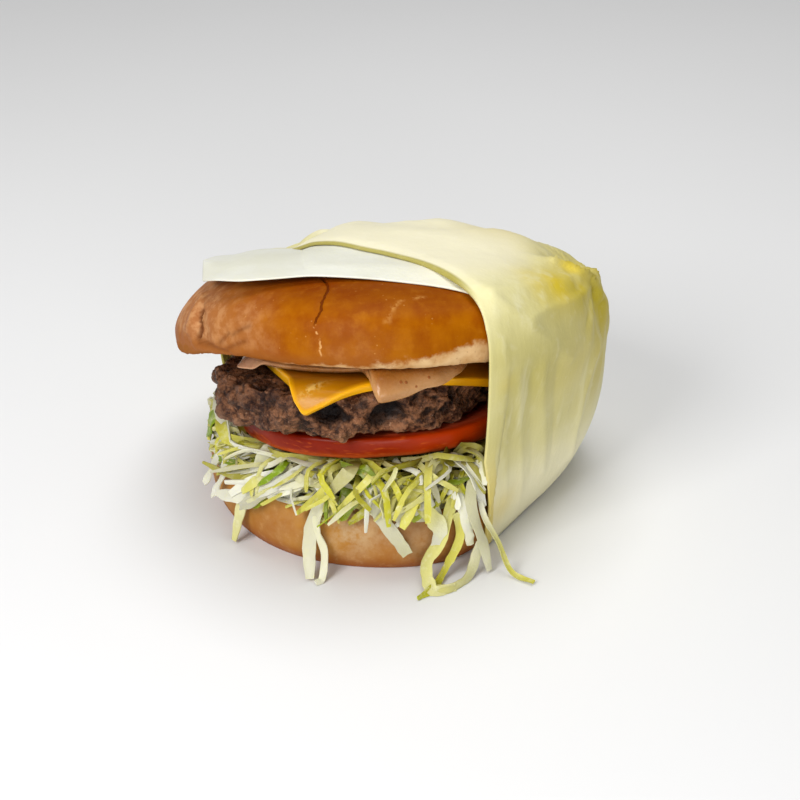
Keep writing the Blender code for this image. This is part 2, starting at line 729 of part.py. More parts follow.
def pocket_point(along, roll):
    """A point of the paper by its angle from the closed end and its roll round the pocket."""
    ax, ay = math.cos(POCKET_AXIS), math.sin(POCKET_AXIS)
    a, b = math.cos(along), math.sin(along) * math.cos(roll)
    up = math.sin(along) * math.sin(roll)
    x, y = a * ax + b * ay, a * ay - b * ax
    return pocket_place(math.atan2(y, x), math.asin(min(max(up, 0.0), 1.0)) / (math.pi / 2))


def sheet_solid(name, grid, finish):
    """A thin solid from a grid of points: its skin is thickened outwards."""
    bm = bmesh.new()
    verts = [[bm.verts.new(p) for p in row] for row in grid]
    for upper, lower in zip(verts, verts[1:]):
        for j in range(len(upper) - 1):
            bm.faces.new((upper[j], upper[j + 1], lower[j + 1], lower[j]))
    bmesh.ops.remove_doubles(bm, verts=bm.verts, dist=1e-6)
    made = new_object(name, bm, finish)
    solidify = made.modifiers.new("thickness", "SOLIDIFY")
    solidify.thickness = PAPER_THICKNESS
    solidify.offset = 1
    solidify.use_even_offset = True
    return made


def make_pocket():
    """The folded paper: a pouch that closes at the back right and opens to the front left."""
    along_steps, roll_steps = 16, 28
    grid = []
    for j in range(roll_steps + 1):
        roll = math.pi * j / roll_steps
        row = []
        for i in range(along_steps + 1):
            along = pocket_mouth(roll) * i / along_steps
            row.append(pocket_point(along, roll))
        grid.append(row)
    return sheet_solid("paper_pocket", grid, material("yellow_paper", PAPER_COLOUR, 0.6))


def flap_height(x, y):
    """The white leaf's height in the upper bun's frame: it hugs the dome at the right and stands
    off it, stiff and nearly level, at the left."""
    hugging = crown_dome(x, y) + GAP + 0.0003
    stiff = FLAP_HEIGHT * (1 - (math.hypot(x, y) / FLAP_RADIUS) ** 3) ** (1 / 3)
    return hugging + (stiff - hugging) * smooth_step((0.008 - x) / 0.030)


def flap_front(x):
    """Where the white leaf's front edge runs."""
    corner = FLAP_CORNER * max((-x - 0.036) / 0.013, 0) ** 2
    return FLAP_FRONT[0] + FLAP_FRONT[1] * (x - FLAP_BEND) + corner


def make_flap():
    """The white inner leaf of the paper, which lies on the upper bun and stands over its left end."""
    across_steps, back_steps = 22, 9
    grid = []
    for j in range(back_steps + 1):
        back = j / back_steps
        row = []
        for i in range(across_steps + 1):
            across = i / across_steps
            x = FLAP_LEFT + (FLAP_RIGHT - FLAP_LEFT) * across
            y = flap_front(x) + (FLAP_BACK - flap_front(x)) * back
            x -= 0.0015 * back * (1 - across)
            row.append(crown_point(x, y, flap_height(x, y)))
        grid.append(row[::-1])
    return sheet_solid("paper_flap", grid, material("white_paper", FLAP_COLOUR, 0.6))


def main():
    clear_scene()
    make_heel()
    make_lettuce()
    make_tomato()
    make_patty()
    make_cheese()
    make_sauce()
    make_crown()
    make_flap()
    make_pocket()


main()
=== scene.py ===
"""A cheeseburger in a folded paper pocket: the look of every piece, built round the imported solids.

Shapes are worked out in millimetres and turned into metres when a mesh is made. +Z is up, the origin
is on the table under the lower bun, and the open front looks to -Y.
"""

import math
from itertools import product

import bpy
import numpy as np
from mathutils import Matrix


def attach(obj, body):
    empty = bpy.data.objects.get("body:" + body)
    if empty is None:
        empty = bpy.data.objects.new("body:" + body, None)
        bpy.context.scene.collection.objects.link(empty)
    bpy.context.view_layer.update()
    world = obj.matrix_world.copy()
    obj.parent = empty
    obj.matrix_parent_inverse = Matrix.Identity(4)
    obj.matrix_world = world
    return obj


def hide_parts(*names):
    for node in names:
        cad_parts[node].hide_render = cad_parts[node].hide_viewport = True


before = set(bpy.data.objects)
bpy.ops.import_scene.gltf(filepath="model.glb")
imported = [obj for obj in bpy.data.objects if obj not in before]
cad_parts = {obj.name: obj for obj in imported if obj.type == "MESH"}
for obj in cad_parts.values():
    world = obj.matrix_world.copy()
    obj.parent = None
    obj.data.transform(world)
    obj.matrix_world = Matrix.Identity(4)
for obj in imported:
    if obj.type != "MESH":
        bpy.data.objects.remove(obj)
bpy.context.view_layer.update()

MM = 0.001
GAP = 0.3

# The solids' own driving values, in millimetres
CROWN_WIDE, CROWN_DEEP = 57.9, 56.0
CROWN_CENTRE = (-1.0, -0.5, 46.0)
CROWN_LEAN = math.radians(17.2)
CROWN_LIP_HEIGHT, CROWN_LIP_RADIUS, CROWN_HEIGHT = 7.0, 3.2, 22.6
CROWN_DROOP_FROM, CROWN_DROOP = 36.0, 7.0
HEEL_RADIUS, HEEL_FLAT, HEEL_Y, HEEL_WIDEST = 51.2, 43.4, -1.0, 8.0
FLAT_AT = math.radians(-32)
HEEL_CENTRE, HEEL_TOP = (0.0, HEEL_Y), (18.0, -0.080, 0.0)
TOMATO_LOW, TOMATO_THICK, TOMATO_RADIUS = (33.2, -0.200, 0.030), 6.0, 38.5
TOMATO_CENTRE = (-3.3, -9.0)
PATTY_LOW, PATTY_TOP, PATTY_RADIUS = (40.2, -0.203, 0.030), (54.0, -0.268, 0.030), 35.8
PATTY_CENTRE = (-9.8, -13.4)
CHEESE_SIDE, CHEESE_THICK = 62.0, 2.7
CHEESE_CORNER, CHEESE_TURN = (-21.8, -55.3), math.radians(19)
DRAPE_RADIUS = 5.0
POCKET_AXIS = math.radians(49.5)
POCKET_FLOOR, POCKET_FLAT = 52.5, 42.7
POCKET_MOUTH = ((0, 105.5), (20, 111), (45, 107), (65, 102), (85, 96.5), (100, 95), (180, 100))
FLAP_HEIGHT, FLAP_RADIUS = 23.4, 68.0
# The yellow paper's room round the upper bun, its height over it, the power of its rounded shoulder,
# and the share of its rise that its wall takes
WRAP_ROOM, WRAP_TOP, WRAP_POWER, WRAP_WALL = 1.6, FLAP_HEIGHT + 0.4 + 4 * GAP, 2 / 3.3, 0.40
# Where the yellow paper's lip crosses the white leaf, as x and y in the upper bun's frame
LEAF_COVER = ((-49, -38, -28.6, -13.3, -1.3, 11.4, 18.9), (28, 17.3, 7, -15.5, -24.5, -36.5, -44.5))


# ---- numbers over whole arrays ----

def smooth_step(value):
    held = np.clip(value, 0, 1)
    return held * held * (3 - 2 * held)


def bell(value, width):
    return np.exp(-((value / width) ** 2))


def ripple(angle, terms):
    """A wavy closed line: the sum of (waves round, size, phase) sines."""
    return sum(size * np.sin(count * angle + phase) for count, size, phase in terms)


def around(centre, radius, angle):
    """Flat places at a radius and an angle from a centre."""
    return centre[0] + radius * np.cos(angle), centre[1] + radius * np.sin(angle)


def degrees_off(angle, at):
    return (np.degrees(angle) - at + 180) % 360 - 180


def level(layer, x, y):
    """The height of a sloping layer: at the front, plus its rise to the back and to the right."""
    return layer[0] + layer[1] * (y + 50) + layer[2] * x


def hashed(cell, seed):
    """A repeatable number from 0 to 1 for each whole-number cell."""
    mixed = cell[..., 0] * 73856093 ^ cell[..., 1] * 19349663 ^ cell[..., 2] * 83492791
    mixed = (mixed ^ seed * 40503) & 0xFFFFFFFF
    mixed = ((mixed ^ mixed >> 15) * 2246822519) & 0xFFFFFFFF
    mixed = ((mixed ^ mixed >> 13) * 3266489917) & 0xFFFFFFFF
    return ((mixed ^ mixed >> 16) & 0xFFFF) / 65535


def noise(points, seed):
    """Smooth noise from -1 to 1: the eight corners' hashed numbers, blended by smooth steps."""
    cell = np.floor(points).astype(np.int64)
    part = smooth_step(points - cell)
    total = 0
    for corner in product((0, 1), repeat=3):
        weight = np.prod(np.where(np.array(corner) == 1, part, 1 - part), axis=-1)
        total = total + weight * hashed(cell + np.array(corner), seed)
    return 2 * total - 1


def fractal(points, size, seed, octaves=4):
    """Noise at a size and at finer and finer sizes, each octave half as strong."""
    total, strength = 0, 1.0
    for octave in range(octaves):
        total = total + strength * noise(points / size * 2.03**octave + 17.3 * octave, seed + octave)
        strength *= 0.5
    return total


def ridged(points, size, seed, octaves=3):
    """Sharp-crested noise from 0 to 1: one minus the size of smooth noise."""
    total, strength, whole = 0, 1.0, 0
    for octave in range(octaves):
        total = total + strength * (1 - abs(noise(points / size * 2.1**octave + 5.1 * octave, seed + octave)))
        whole += strength
        strength *= 0.5
    return total / whole


def cells(points, seed):
    """Distances to the nearest and to the next of points that lie scattered, one to a lattice cell."""
    base = np.floor(points).astype(np.int64)
    near = np.full(points.shape[:-1], 9.0)
    after = near.copy()
    for step in product((-1, 0, 1), repeat=3):
        cell = base + np.array(step)
        spot = cell + np.stack([hashed(cell, seed + k) for k in range(3)], -1)
        away = np.linalg.norm(points - spot, axis=-1)
        after = np.minimum(after, np.maximum(near, away))
        near = np.minimum(near, away)
    return near, after


def near_line(points, line):
    """The distance from each point to a line of straight stretches."""
    line = np.array(line, float)
    best = np.full(points.shape[:-1], 1e9)
    for a, b in zip(line, line[1:]):
        along = np.clip(((points - a) @ (b - a)) / ((b - a) @ (b - a)), 0, 1)
        best = np.minimum(best, np.linalg.norm(points - a - along[..., None] * (b - a), axis=-1))
    return best


def spots(points, places):
    """Soft round patches: the strongest bell of (x, y, z, radius, weight) at each point."""
    total = 0
    for x, y, z, radius, weight in places:
        away = np.linalg.norm(points - np.array((x, y, z)), axis=-1)
        total = np.maximum(total, weight * bell(away, radius))
    return total


def facing(points, wrap=True):
    """Outward unit normals of a grid of points, rows going up and columns going round."""
    if wrap:
        across = np.roll(points, -1, 1) - np.roll(points, 1, 1)
    else:
        across = np.gradient(points, axis=1)
    normal = np.cross(across, np.gradient(points, axis=0))
    return normal / np.maximum(np.linalg.norm(normal, axis=-1, keepdims=True), 1e-9)


def pressed(rings, push):
    """Closed rings, each point moved out along its normal by its own push in millimetres."""
    return rings + facing(rings) * push[..., None]


def front_heavy(count):
    """A row of azimuths round the whole turn, closer together at the front."""
    gather = 0.38
    even = np.linspace(0, 2 * np.pi, count, endpoint=False)
    return (even + gather * np.cos(even))[None, :]


def slab_rows(first, last, count, turns):
    """Rows for a slab's skin: shares of its radius, and angles from under its edge to over it."""
    inner = np.linspace(first, last, count)[:, None]
    return inner, np.linspace(-np.pi / 2, np.pi / 2, turns)[1:-1, None]


def blunt_sine(turn, power):
    """A sine whose size is raised to a power, which squares a slab's rim below 1."""
    return np.sign(np.sin(turn)) * abs(np.sin(turn)) ** power


# ---- meshes ----

def grid_faces(rows, columns, wrap):
    """Corner numbers of the quads of a grid. The last column joins the first where it wraps."""
    i = np.arange(rows - 1)[:, None]
    j = np.arange(columns if wrap else columns - 1)[None, :]
    k = (j + 1) % columns
    corners = (i * columns + j, i * columns + k, (i + 1) * columns + k, (i + 1) * columns + j)
    return np.stack(np.broadcast_arrays(*corners), -1).reshape(-1, 4)


def make_piece(name, points, faces, finish, node, marks):
    """A mesh from points in millimetres, with its marks as attributes, riding on the whole."""
    mesh = bpy.data.meshes.new(name)
    mesh.from_pydata((np.asarray(points) * MM).tolist(), [], faces)
    for mark, values in marks.items():
        layer = mesh.attributes.new(mark, "FLOAT", "POINT")
        layer.data.foreach_set("value", np.asarray(values, np.float32).ravel())
    mesh.materials.append(finish)
    mesh.shade_smooth()
    piece = bpy.data.objects.new(name, mesh)
    bpy.context.scene.collection.objects.link(piece)
    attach(piece, "root")
    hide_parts(node)
    return piece


def closed_skin(rings, low, high, marks):
    """A closed skin through rings, with a fan of triangles to a pole at each end. Each mark's value
    at a pole is the mean of the nearest ring's."""
    rows, columns = rings.shape[:2]
    points = np.concatenate([rings.reshape(-1, 3), [low], [high]])
    quads = grid_faces(rows, columns, True).tolist()
    i = np.arange(columns)
    j = (i + 1) % columns
    last = (rows - 1) * columns
    low_fan = np.stack([np.full(columns, rows * columns), j, i], -1).tolist()
    high_fan = np.stack([np.full(columns, rows * columns + 1), last + i, last + j], -1).tolist()
    whole = {
        key: np.concatenate([values.ravel(), [values[0].mean(), values[-1].mean()]])
        for key, values in marks.items()
    }
    return points, quads + low_fan + high_fan, whole


def make_solid(name, rings, low, high, finish, node, marks):
    """A piece that is one closed skin through rings."""
    points, faces, marks = closed_skin(rings, low, high, marks)
    make_piece(name, points, faces, finish, node, marks)


# ---- materials ----

def see_into(red, green, blue, weight=0.1):
    """Light that goes in by that many millimetres of each colour."""
    return {"Subsurface_Weight": weight, "Subsurface_Radius": (red * MM, green * MM, blue * MM),
            "Subsurface_Scale": 1.0}


def tone(red, green, blue):
    """A colour as it shows on a screen, from 0 to 255, as the linear colour that a shader takes."""
    def linear(value):
        value /= 255
        return value / 12.92 if value <= 0.04045 else ((value + 0.055) / 1.055) ** 2.4

    return (linear(red), linear(green), linear(blue), 1.0)


class Value:
    """A number that varies over a surface. Arithmetic on it adds Math nodes."""

    def __init__(self, paint, socket):
        self.paint, self.socket = paint, socket

    def math(self, operation, *numbers):
        links = dict(enumerate(numbers))
        return self.paint.node("ShaderNodeMath", {"operation": operation}, links)

    def __add__(self, other):
        return self.math("ADD", self, other)

    def __sub__(self, other):
        return self.math("SUBTRACT", self, other)

    def __rsub__(self, other):
        return self.math("SUBTRACT", other, self)

    def __mul__(self, other):
        return self.math("MULTIPLY", self, other)

    __radd__, __rmul__ = __add__, __mul__

    def size(self):
        return self.math("ABSOLUTE", self)

    def between(self, low, high):
        """0 below low, 1 above high, and a smooth step between. High may be the smaller."""
        settings = {"interpolation_type": "SMOOTHSTEP"}
        if low > high:
            return 1 - self.between(high, low)
        return self.paint.node(
            "ShaderNodeMapRange", settings, {"Value": self, "From Min": low, "From Max": high}
        )


class Paint:
    """A material in the making, with its shader's own sockets for what is the same all over."""

    def __init__(self, name, **constants):
        self.material = bpy.data.materials.new(name)
        self.material.use_nodes = True
        self.tree = self.material.node_tree
        self.shader = self.tree.nodes["Principled BSDF"]
        for key, value in constants.items():
            self.shader.inputs[key.replace("_", " ")].default_value = value
        self.here = self.node("ShaderNodeTexCoord", out="Object")

    def node(self, kind, settings=None, links=None, out=0):
        """Adds a node: its settings first, then the values or links of its sockets."""
        made = self.tree.nodes.new(kind)
        for key, value in (settings or {}).items():
            setattr(made, key, value)
        for key, value in (links or {}).items():
            if isinstance(value, Value):
                self.tree.links.new(value.socket, made.inputs[key])
            else:
                made.inputs[key].default_value = value
        return Value(self, made.outputs[out])

    def stretched(self, x, y, z):
        """The place on the piece with its axes stretched."""
        return self.node("ShaderNodeMapping", {}, {"Vector": self.here, "Scale": (x, y, z)})

    def grain(self, size, detail=3.0, roughness=0.55, place=None):
        """Noise from 0 to 1 whose largest lumps are about that many millimetres across."""
        links = {
            "Vector": place or self.here, "Scale": 1 / (size * MM), "Detail": detail,
            "Roughness": roughness,
        }
        return self.node("ShaderNodeTexNoise", {}, links)

    def pores(self, size):
        """Distance from scattered points, for pits, grains and cells."""
        return self.node("ShaderNodeTexVoronoi", {}, {"Vector": self.here, "Scale": 1 / (size * MM)})

    def mark(self, name):
        """A number that the piece's own mesh carries."""
        return self.node("ShaderNodeAttribute", {"attribute_name": name}, out="Fac")

    def mix(self, share, first, second):
        """Colour from first to second as share goes from 0 to 1."""
        settings = {"data_type": "RGBA", "clamp_factor": True}
        return self.node("ShaderNodeMix", settings, {0: share, 6: first, 7: second}, out=2)

    def blotch(self, noise, first, second, low=0.3, high=0.7):
        """Blotches of two colours: the first where a noise is low, the second where it is high."""
        return self.mix(noise.between(low, high), tone(*first), tone(*second))

    def over(self, colour, *layers):
        """Lays colours over a colour, each by its own share from 0, none of it, to 1, only it."""
        for share, layer in layers:
            colour = self.mix(share, colour, layer if isinstance(layer, Value) else tone(*layer))
        return colour

    def coat(self, colour, roughness, relief):
        """Feeds the shader: colour, roughness, and a relief whose heights are in millimetres."""
        for key, value in (("Base Color", colour), ("Roughness", roughness)):
            self.tree.links.new(value.socket, self.shader.inputs[key])
        bump = self.node("ShaderNodeBump", {}, {"Strength": 1.0, "Distance": MM, "Height": relief})
        self.tree.links.new(bump.socket, self.shader.inputs["Normal"])
        return self.material


# ---- upper bun ----

def crown_point(x, y, z):
    """A place in the upper bun's leaning frame, as a point of the whole. The left end hangs down and
    the back is pressed flatter."""
    past = np.maximum(-x - CROWN_DROOP_FROM, 0) / (CROWN_WIDE - CROWN_DROOP_FROM)
    z = z - 2.0 * z / CROWN_HEIGHT * smooth_step((y + 20) / 45)
    z = z - CROWN_DROOP * past**2
    cos, sin = math.cos(CROWN_LEAN), math.sin(CROWN_LEAN)
    cx, cy, cz = CROWN_CENTRE
    return np.stack([cx + x, cy + y * cos + z * sin, cz - y * sin + z * cos], -1)


def crown_outline(angle):
    oval = 1 / np.hypot(np.cos(angle) / CROWN_WIDE, np.sin(angle) / CROWN_DEEP)
    return oval + ripple(angle, ((3, 0.5, 0.4), (4, 0.6, 1.2), (7, 0.2, 2.0)))


def crown_boxiness(angle):
    return 2.75 - 0.50 * np.maximum(-np.cos(angle), 0) ** 2


def crown_dome(x, y):
    """The dome's height above the cut face at a place in the upper bun's own plane."""
    angle = np.arctan2(y, x)
    share = np.minimum(np.hypot(x, y) / crown_outline(angle), 0.985)
    power = crown_boxiness(angle)
    return CROWN_LIP_HEIGHT + (CROWN_HEIGHT - CROWN_LIP_HEIGHT) * (1 - share**power) ** (1 / power)


def above_cut(points):
    """How far points are above the upper bun's cut face, square to it."""
    off = points - np.array(CROWN_CENTRE)
    return off[..., 1] * math.sin(CROWN_LEAN) + off[..., 2] * math.cos(CROWN_LEAN)


# Lines on the upper bun: the crack, the pale flaked line under it, the pale scratched arc, the long
# dent at the left, pink patches of painted sheen as x, y, z, radius and weight, and short creases
CRACK = ((-17.2, -29.4, 75.8), (-15.7, -33.9, 76.3), (-15.3, -37.7, 76.5), (-16.0, -40.8, 76.1),
         (-16.7, -43.2, 75.6), (-16.8, -45.8, 74.5), (-17.8, -47.4, 73.4), (-18.3, -48.3, 71.9))
FLAKE = ((-18.3, -48.3, 71.9), (-17.3, -49.6, 70.1), (-16.8, -50.5, 68.9), (-17.1, -50.9, 66.6),
         (-16.6, -51.1, 65.0))
ARC = ((-0.5, -50.3, 74.1), (0.2, -48.3, 75.2), (1.2, -46.5, 76.2), (3.1, -44.1, 76.6),
       (5.6, -43.0, 76.7), (8.3, -42.3, 76.6))
DENT = ((-48.4, -20.5, 64.1), (-49.9, -22.2, 62.4), (-49.9, -25.0, 60.9), (-49.9, -26.6, 59.3),
        (-50.6, -26.2, 56.2))
PAINTED_SHEEN_SPOTS = ((-42, -32, 62, 9, 0.95), (-36, -38.5, 66, 7, 0.8), (-43, -28, 67, 7, 0.7),
         (-55, -14, 56, 8, 0.55), (-47, -29, 57, 6, 0.7), (-31, -43, 63, 5, 0.35), (-10, -52, 62, 9, 0.3))
FOLDS = (
    ((-50.3, -26.7, 55.6), (-45.9, -31.5, 57.3), (-41.4, -35.4, 57.9)),
    ((-43.8, -33.8, 59.4), (-41.1, -35.9, 63.1)),
    ((-40.0, -36.9, 63.4), (-37.8, -38.4, 65.6), (-35.1, -39.7, 67.4)),
    ((-41.3, -35.7, 59.0), (-36.5, -40.0, 63.3)),
)


def crown_finish():
    paint = Paint("crown_crust", Coat_Weight=0.01, Coat_Roughness=0.3, Specular_IOR_Level=0.03)
    wide, fine = paint.grain(15, 4, 0.6), paint.grain(3.2, 5, 0.65)
    brushed = paint.grain(6, 4, 0.6, place=paint.stretched(1, 1, 0.45))
    golden = paint.blotch(0.6 * wide + 0.4 * brushed, (162, 92, 1), (138, 66, 0), 0.36, 0.62)
    pink = paint.blotch(fine, (164, 106, 62), (190, 138, 92), 0.40, 0.62)
    freckle = paint.pores(1.9).between(0.14, 0.05) * paint.grain(9).between(0.5, 0.65)
    wobble = (paint.grain(1.4, 3) - 0.5) * 1.3
    flake = (paint.mark("flake_off") + wobble).size().between(0.42, 0.12) * paint.mark("flake_here")
    flake = flake * paint.grain(2.2, 2).between(0.40, 0.52)
    crack = (paint.mark("crack_off") + wobble * 0.6).size().between(0.40, 0.12) * paint.mark("crack_here")
    groove = (paint.mark("groove_off") + wobble * 0.5).size().between(1.1, 0.15)
    groove = groove * paint.mark("groove_here")
    ragged = (paint.mark("crumb") + (fine - 0.5) * 1.5).between(0.30, 0.85)
    holes = paint.pores(0.9).between(0.34, 0.10) * paint.grain(3).between(0.4, 0.6)
    bread = paint.over(
        paint.blotch(paint.grain(5), (214, 178, 130), (192, 146, 92), 0.35),
        (holes * 0.35, (176, 124, 74)),
        (paint.mark("toast"), (150, 92, 40)),
    )
    colour = paint.over(
        golden,
        (paint.mark("high") * 0.8, (112, 42, 0)),
        (fine.between(0.50, 0.80) * 0.30, (184, 116, 26)),
        # Painted sheen: pale pink patches at the left end, standing for the soft lamp's reflection
        (paint.mark("painted_sheen") * (0.45 + 0.9 * wide), pink),
        (paint.mark("lip") * (0.30 + 0.9 * fine), (146, 82, 26)),
        (freckle * 0.4, (210, 156, 84)),
        (flake * 0.75, (214, 160, 96)),
        (paint.mark("arc") * fine.between(0.42, 0.58) * 0.55, (206, 150, 78)),
        # Painted shade: the crack, the dent's groove and the short creases are darkened where shade falls in
        # them
        (crack * 0.8, (92, 32, 2)),
        (groove * 0.8, (92, 44, 16)),
        (paint.mark("crease") * 0.6, (104, 54, 22)),
        (ragged, bread),
    )
    relief = 0.10 * wide + 0.05 * fine + 0.02 * paint.grain(0.8, 2) - ragged * holes * 0.10
    return paint.coat(colour, 0.44 + 0.12 * wide + 0.35 * ragged, relief - crack * 0.3 - groove * 0.3)


def signed_off(points, line, axis):
    """How far points are past a line on the upper bun's side, square to it in the surface, and where
    the line runs, from 0 past its ends to 1 within them. The line runs steadily along one axis."""
    line = np.array(line)
    line = line[np.argsort(line[:, axis])]
    at = points[..., axis]
    middle = line.mean(0) - np.array(CROWN_CENTRE)
    round_bun = np.array((-middle[1], middle[0])) / np.hypot(middle[0], middle[1])
    off = sum((points[..., k] - np.interp(at, line[:, axis], line[:, k])) * round_bun[k] for k in (0, 1))
    low, high = line[0, axis], line[-1, axis]
    here = smooth_step((at - low) / 0.8 + 0.5) * smooth_step((high - at) / 0.8 + 0.5)
    return off, here * (near_line(points, line) < 9)


def make_crown():
    """Rings by azimuth: out over the cut face, round the lip by an arc, and up a squarish dome whose
    radius and height are powers of a cosine and a sine. Creases are pressed in along lines."""
    angle = front_heavy(480)
    rim, power = crown_outline(angle), 2 / crown_boxiness(angle)
    inner = np.linspace(0.06, 1, 26)[:, None] ** 0.8
    arc = np.linspace(0, np.pi / 2, 14)[1:, None]
    rise = (np.linspace(0, 1, 96)[1:-1, None] ** 1.15) * np.pi / 2
    dome = CROWN_HEIGHT - CROWN_LIP_HEIGHT
    radius = np.concatenate([
        (rim - CROWN_LIP_RADIUS) * inner,
        rim - CROWN_LIP_RADIUS * (1 - np.sin(arc)),
        rim * np.cos(rise) ** power,
    ])
    height = np.concatenate([
        np.zeros_like(rim * inner),
        np.broadcast_to(CROWN_LIP_HEIGHT * (1 - np.cos(arc)), (len(arc), rim.size)),
        CROWN_LIP_HEIGHT + dome * np.sin(rise) ** power,
    ])
    rings = crown_point(radius * np.cos(angle), radius * np.sin(angle), height)
    x, y = rings[..., 0], rings[..., 1]
    outside = np.clip(smooth_step((radius / rim - 0.90) / 0.06) + (height > 8), 0, 1)
    left = smooth_step((-x - 30) / 16) * smooth_step((-y + 6) / 20)
    fold = np.minimum.reduce([near_line(rings, line) for line in FOLDS])
    crack_off, crack_here = signed_off(rings, CRACK, 1)
    flake_off, flake_here = signed_off(rings, FLAKE, 2)
    groove_off, groove_here = signed_off(rings, DENT, 2)
    arc_line = near_line(rings, ARC)
    push = 0.30 * fractal(rings, 23, 1, 3) + 0.05 * fractal(rings, 5, 5, 3)
    push += left * (0.14 * fractal(rings * (1.3, 1.3, 0.7), 3.2, 9, 3))
    dent = 1.9 * np.exp(-abs(groove_off) / 1.1) + 0.9 * bell(groove_off - 3, 3)
    push -= groove_here * (dent - 0.8 * bell(groove_off + 4, 3))
    push -= 0.55 * np.exp(-fold / 0.8) - 0.25 * bell(fold - 1.9, 1.2)
    push += left * 0.35 * (ridged(rings * (1, 1, 0.8), 7, 15, 2) - 0.7)
    push -= 0.35 * crack_here * bell(crack_off, 0.5)
    push += 0.05 * flake_here * bell(flake_off, 0.6) + 0.04 * bell(arc_line, 0.6)
    lifted = above_cut(rings)
    edge = np.interp(x, (-60, -24, -4, 4, 10, 17, 24, 60), (-1, 0.0, 1.3, 2.6, 3.8, 4.9, 6.6, 7.2))
    crumb = smooth_step((edge - lifted) / 5.5 + 0.5) * smooth_step((-y - 5) / 10)
    cut_face = smooth_step(((rim - CROWN_LIP_RADIUS - 1.4) - radius) / 1.5) * (height < 1)
    crumb = np.maximum(crumb, cut_face)
    push += crumb * (0.22 * fractal(rings, 1.6, 21, 3) - 0.15)
    rings = pressed(rings, push * (0.35 + 0.65 * outside))
    # Painted sheen over the left end, below the top of the dome
    painted_sheen = smooth_step((-x - 38 + 4 * noise(rings / 8, 4)) / 9) * smooth_step((21 - lifted) / 7)
    marks = {
        "crack_off": crack_off, "crack_here": crack_here * outside,
        "flake_off": flake_off, "flake_here": flake_here * outside,
        "groove_off": groove_off, "groove_here": groove_here * outside,
        "crease": bell(fold, 0.6), "arc": bell(arc_line, 0.6), "crumb": crumb,
        "high": smooth_step((lifted - 11) / 11) * smooth_step((x + 52) / 24),
        "painted_sheen": np.clip(np.maximum(spots(rings, PAINTED_SHEEN_SPOTS), painted_sheen), 0, 1),
        "lip": smooth_step((4.4 - lifted) / 3.4) * (height > 0),
        "toast": smooth_step((-x - 20) / 14),
    }
    make_solid("upper_bun", rings, crown_point(0.0, 0.0, 0.0), rings[-1].mean(0), crown_finish(),
               "bun_crown", marks)


# ---- lower bun ----

def flattened(angle, radius, flat):
    """A circle's radius with a straight side, blended into each other by a high power."""
    turned = np.cos(angle - FLAT_AT)
    straight = flat / np.maximum(turned, 0.05)
    return np.where(turned <= 0.05, radius, (radius**-16.0 + straight**-16.0) ** (-1 / 16))


def heel_outline(angle):
    waves = ((2, 0.4, 0.6), (3, 0.3, 2.1), (5, 0.2, 0.3))
    return flattened(angle, HEEL_RADIUS, HEEL_FLAT) + ripple(angle, waves)


def heel_top_at(angle):
    return level(HEEL_TOP, *around(HEEL_CENTRE, HEEL_RADIUS, angle))


def heel_side(angle, height):
    """The lower bun's radius at a height, from its rounded foot to its cut edge."""
    low = np.clip(1 - height / HEEL_WIDEST, 0, 1) ** 2.6
    high = np.clip((height - HEEL_WIDEST) / (heel_top_at(angle) - HEEL_WIDEST), 0, 1) ** 2
    return heel_outline(angle) - 2.4 * low - 2.6 * high


# Floury patches, as x, y, z, radius and weight
FLOUR = ((-10, -51, 13.5, 8, 1.0), (-2, -52, 14.5, 6, 0.7), (-16, -50, 14, 4, 0.5), (7, -50, 10.5, 7, 0.6),
         (-27, -43, 11, 11, 0.2))


def heel_finish():
    paint = Paint("heel_crust", Coat_Weight=0.03, Coat_Roughness=0.4, Specular_IOR_Level=0.15)
    wide, fine = paint.grain(14, 4, 0.6), paint.grain(2.6, 5, 0.65)
    cut = (paint.mark("cut") + (fine - 0.5) * 0.5).between(0.35, 0.65)
    holes = paint.pores(1.4).between(0.32, 0.14)
    bread = paint.blotch(paint.grain(6), (232, 202, 156), (214, 170, 112), 0.35)
    colour = paint.over(
        paint.blotch(wide, (176, 124, 54), (158, 98, 32)),
        (paint.mark("foot"), (146, 76, 12)),
        (fine.between(0.52, 0.75) * 0.4, (194, 146, 84)),
        (paint.mark("flour") * (fine + 0.4 * wide).between(0.45, 0.85), (184, 154, 114)),
        (cut, paint.over(bread, (holes * 0.5, (190, 138, 80)))),
    )
    relief = 0.12 * wide + 0.07 * fine + 0.03 * paint.grain(0.7, 2) - cut * holes * 0.35
    return paint.coat(colour, 0.5 + 0.15 * fine + 0.3 * cut, relief)


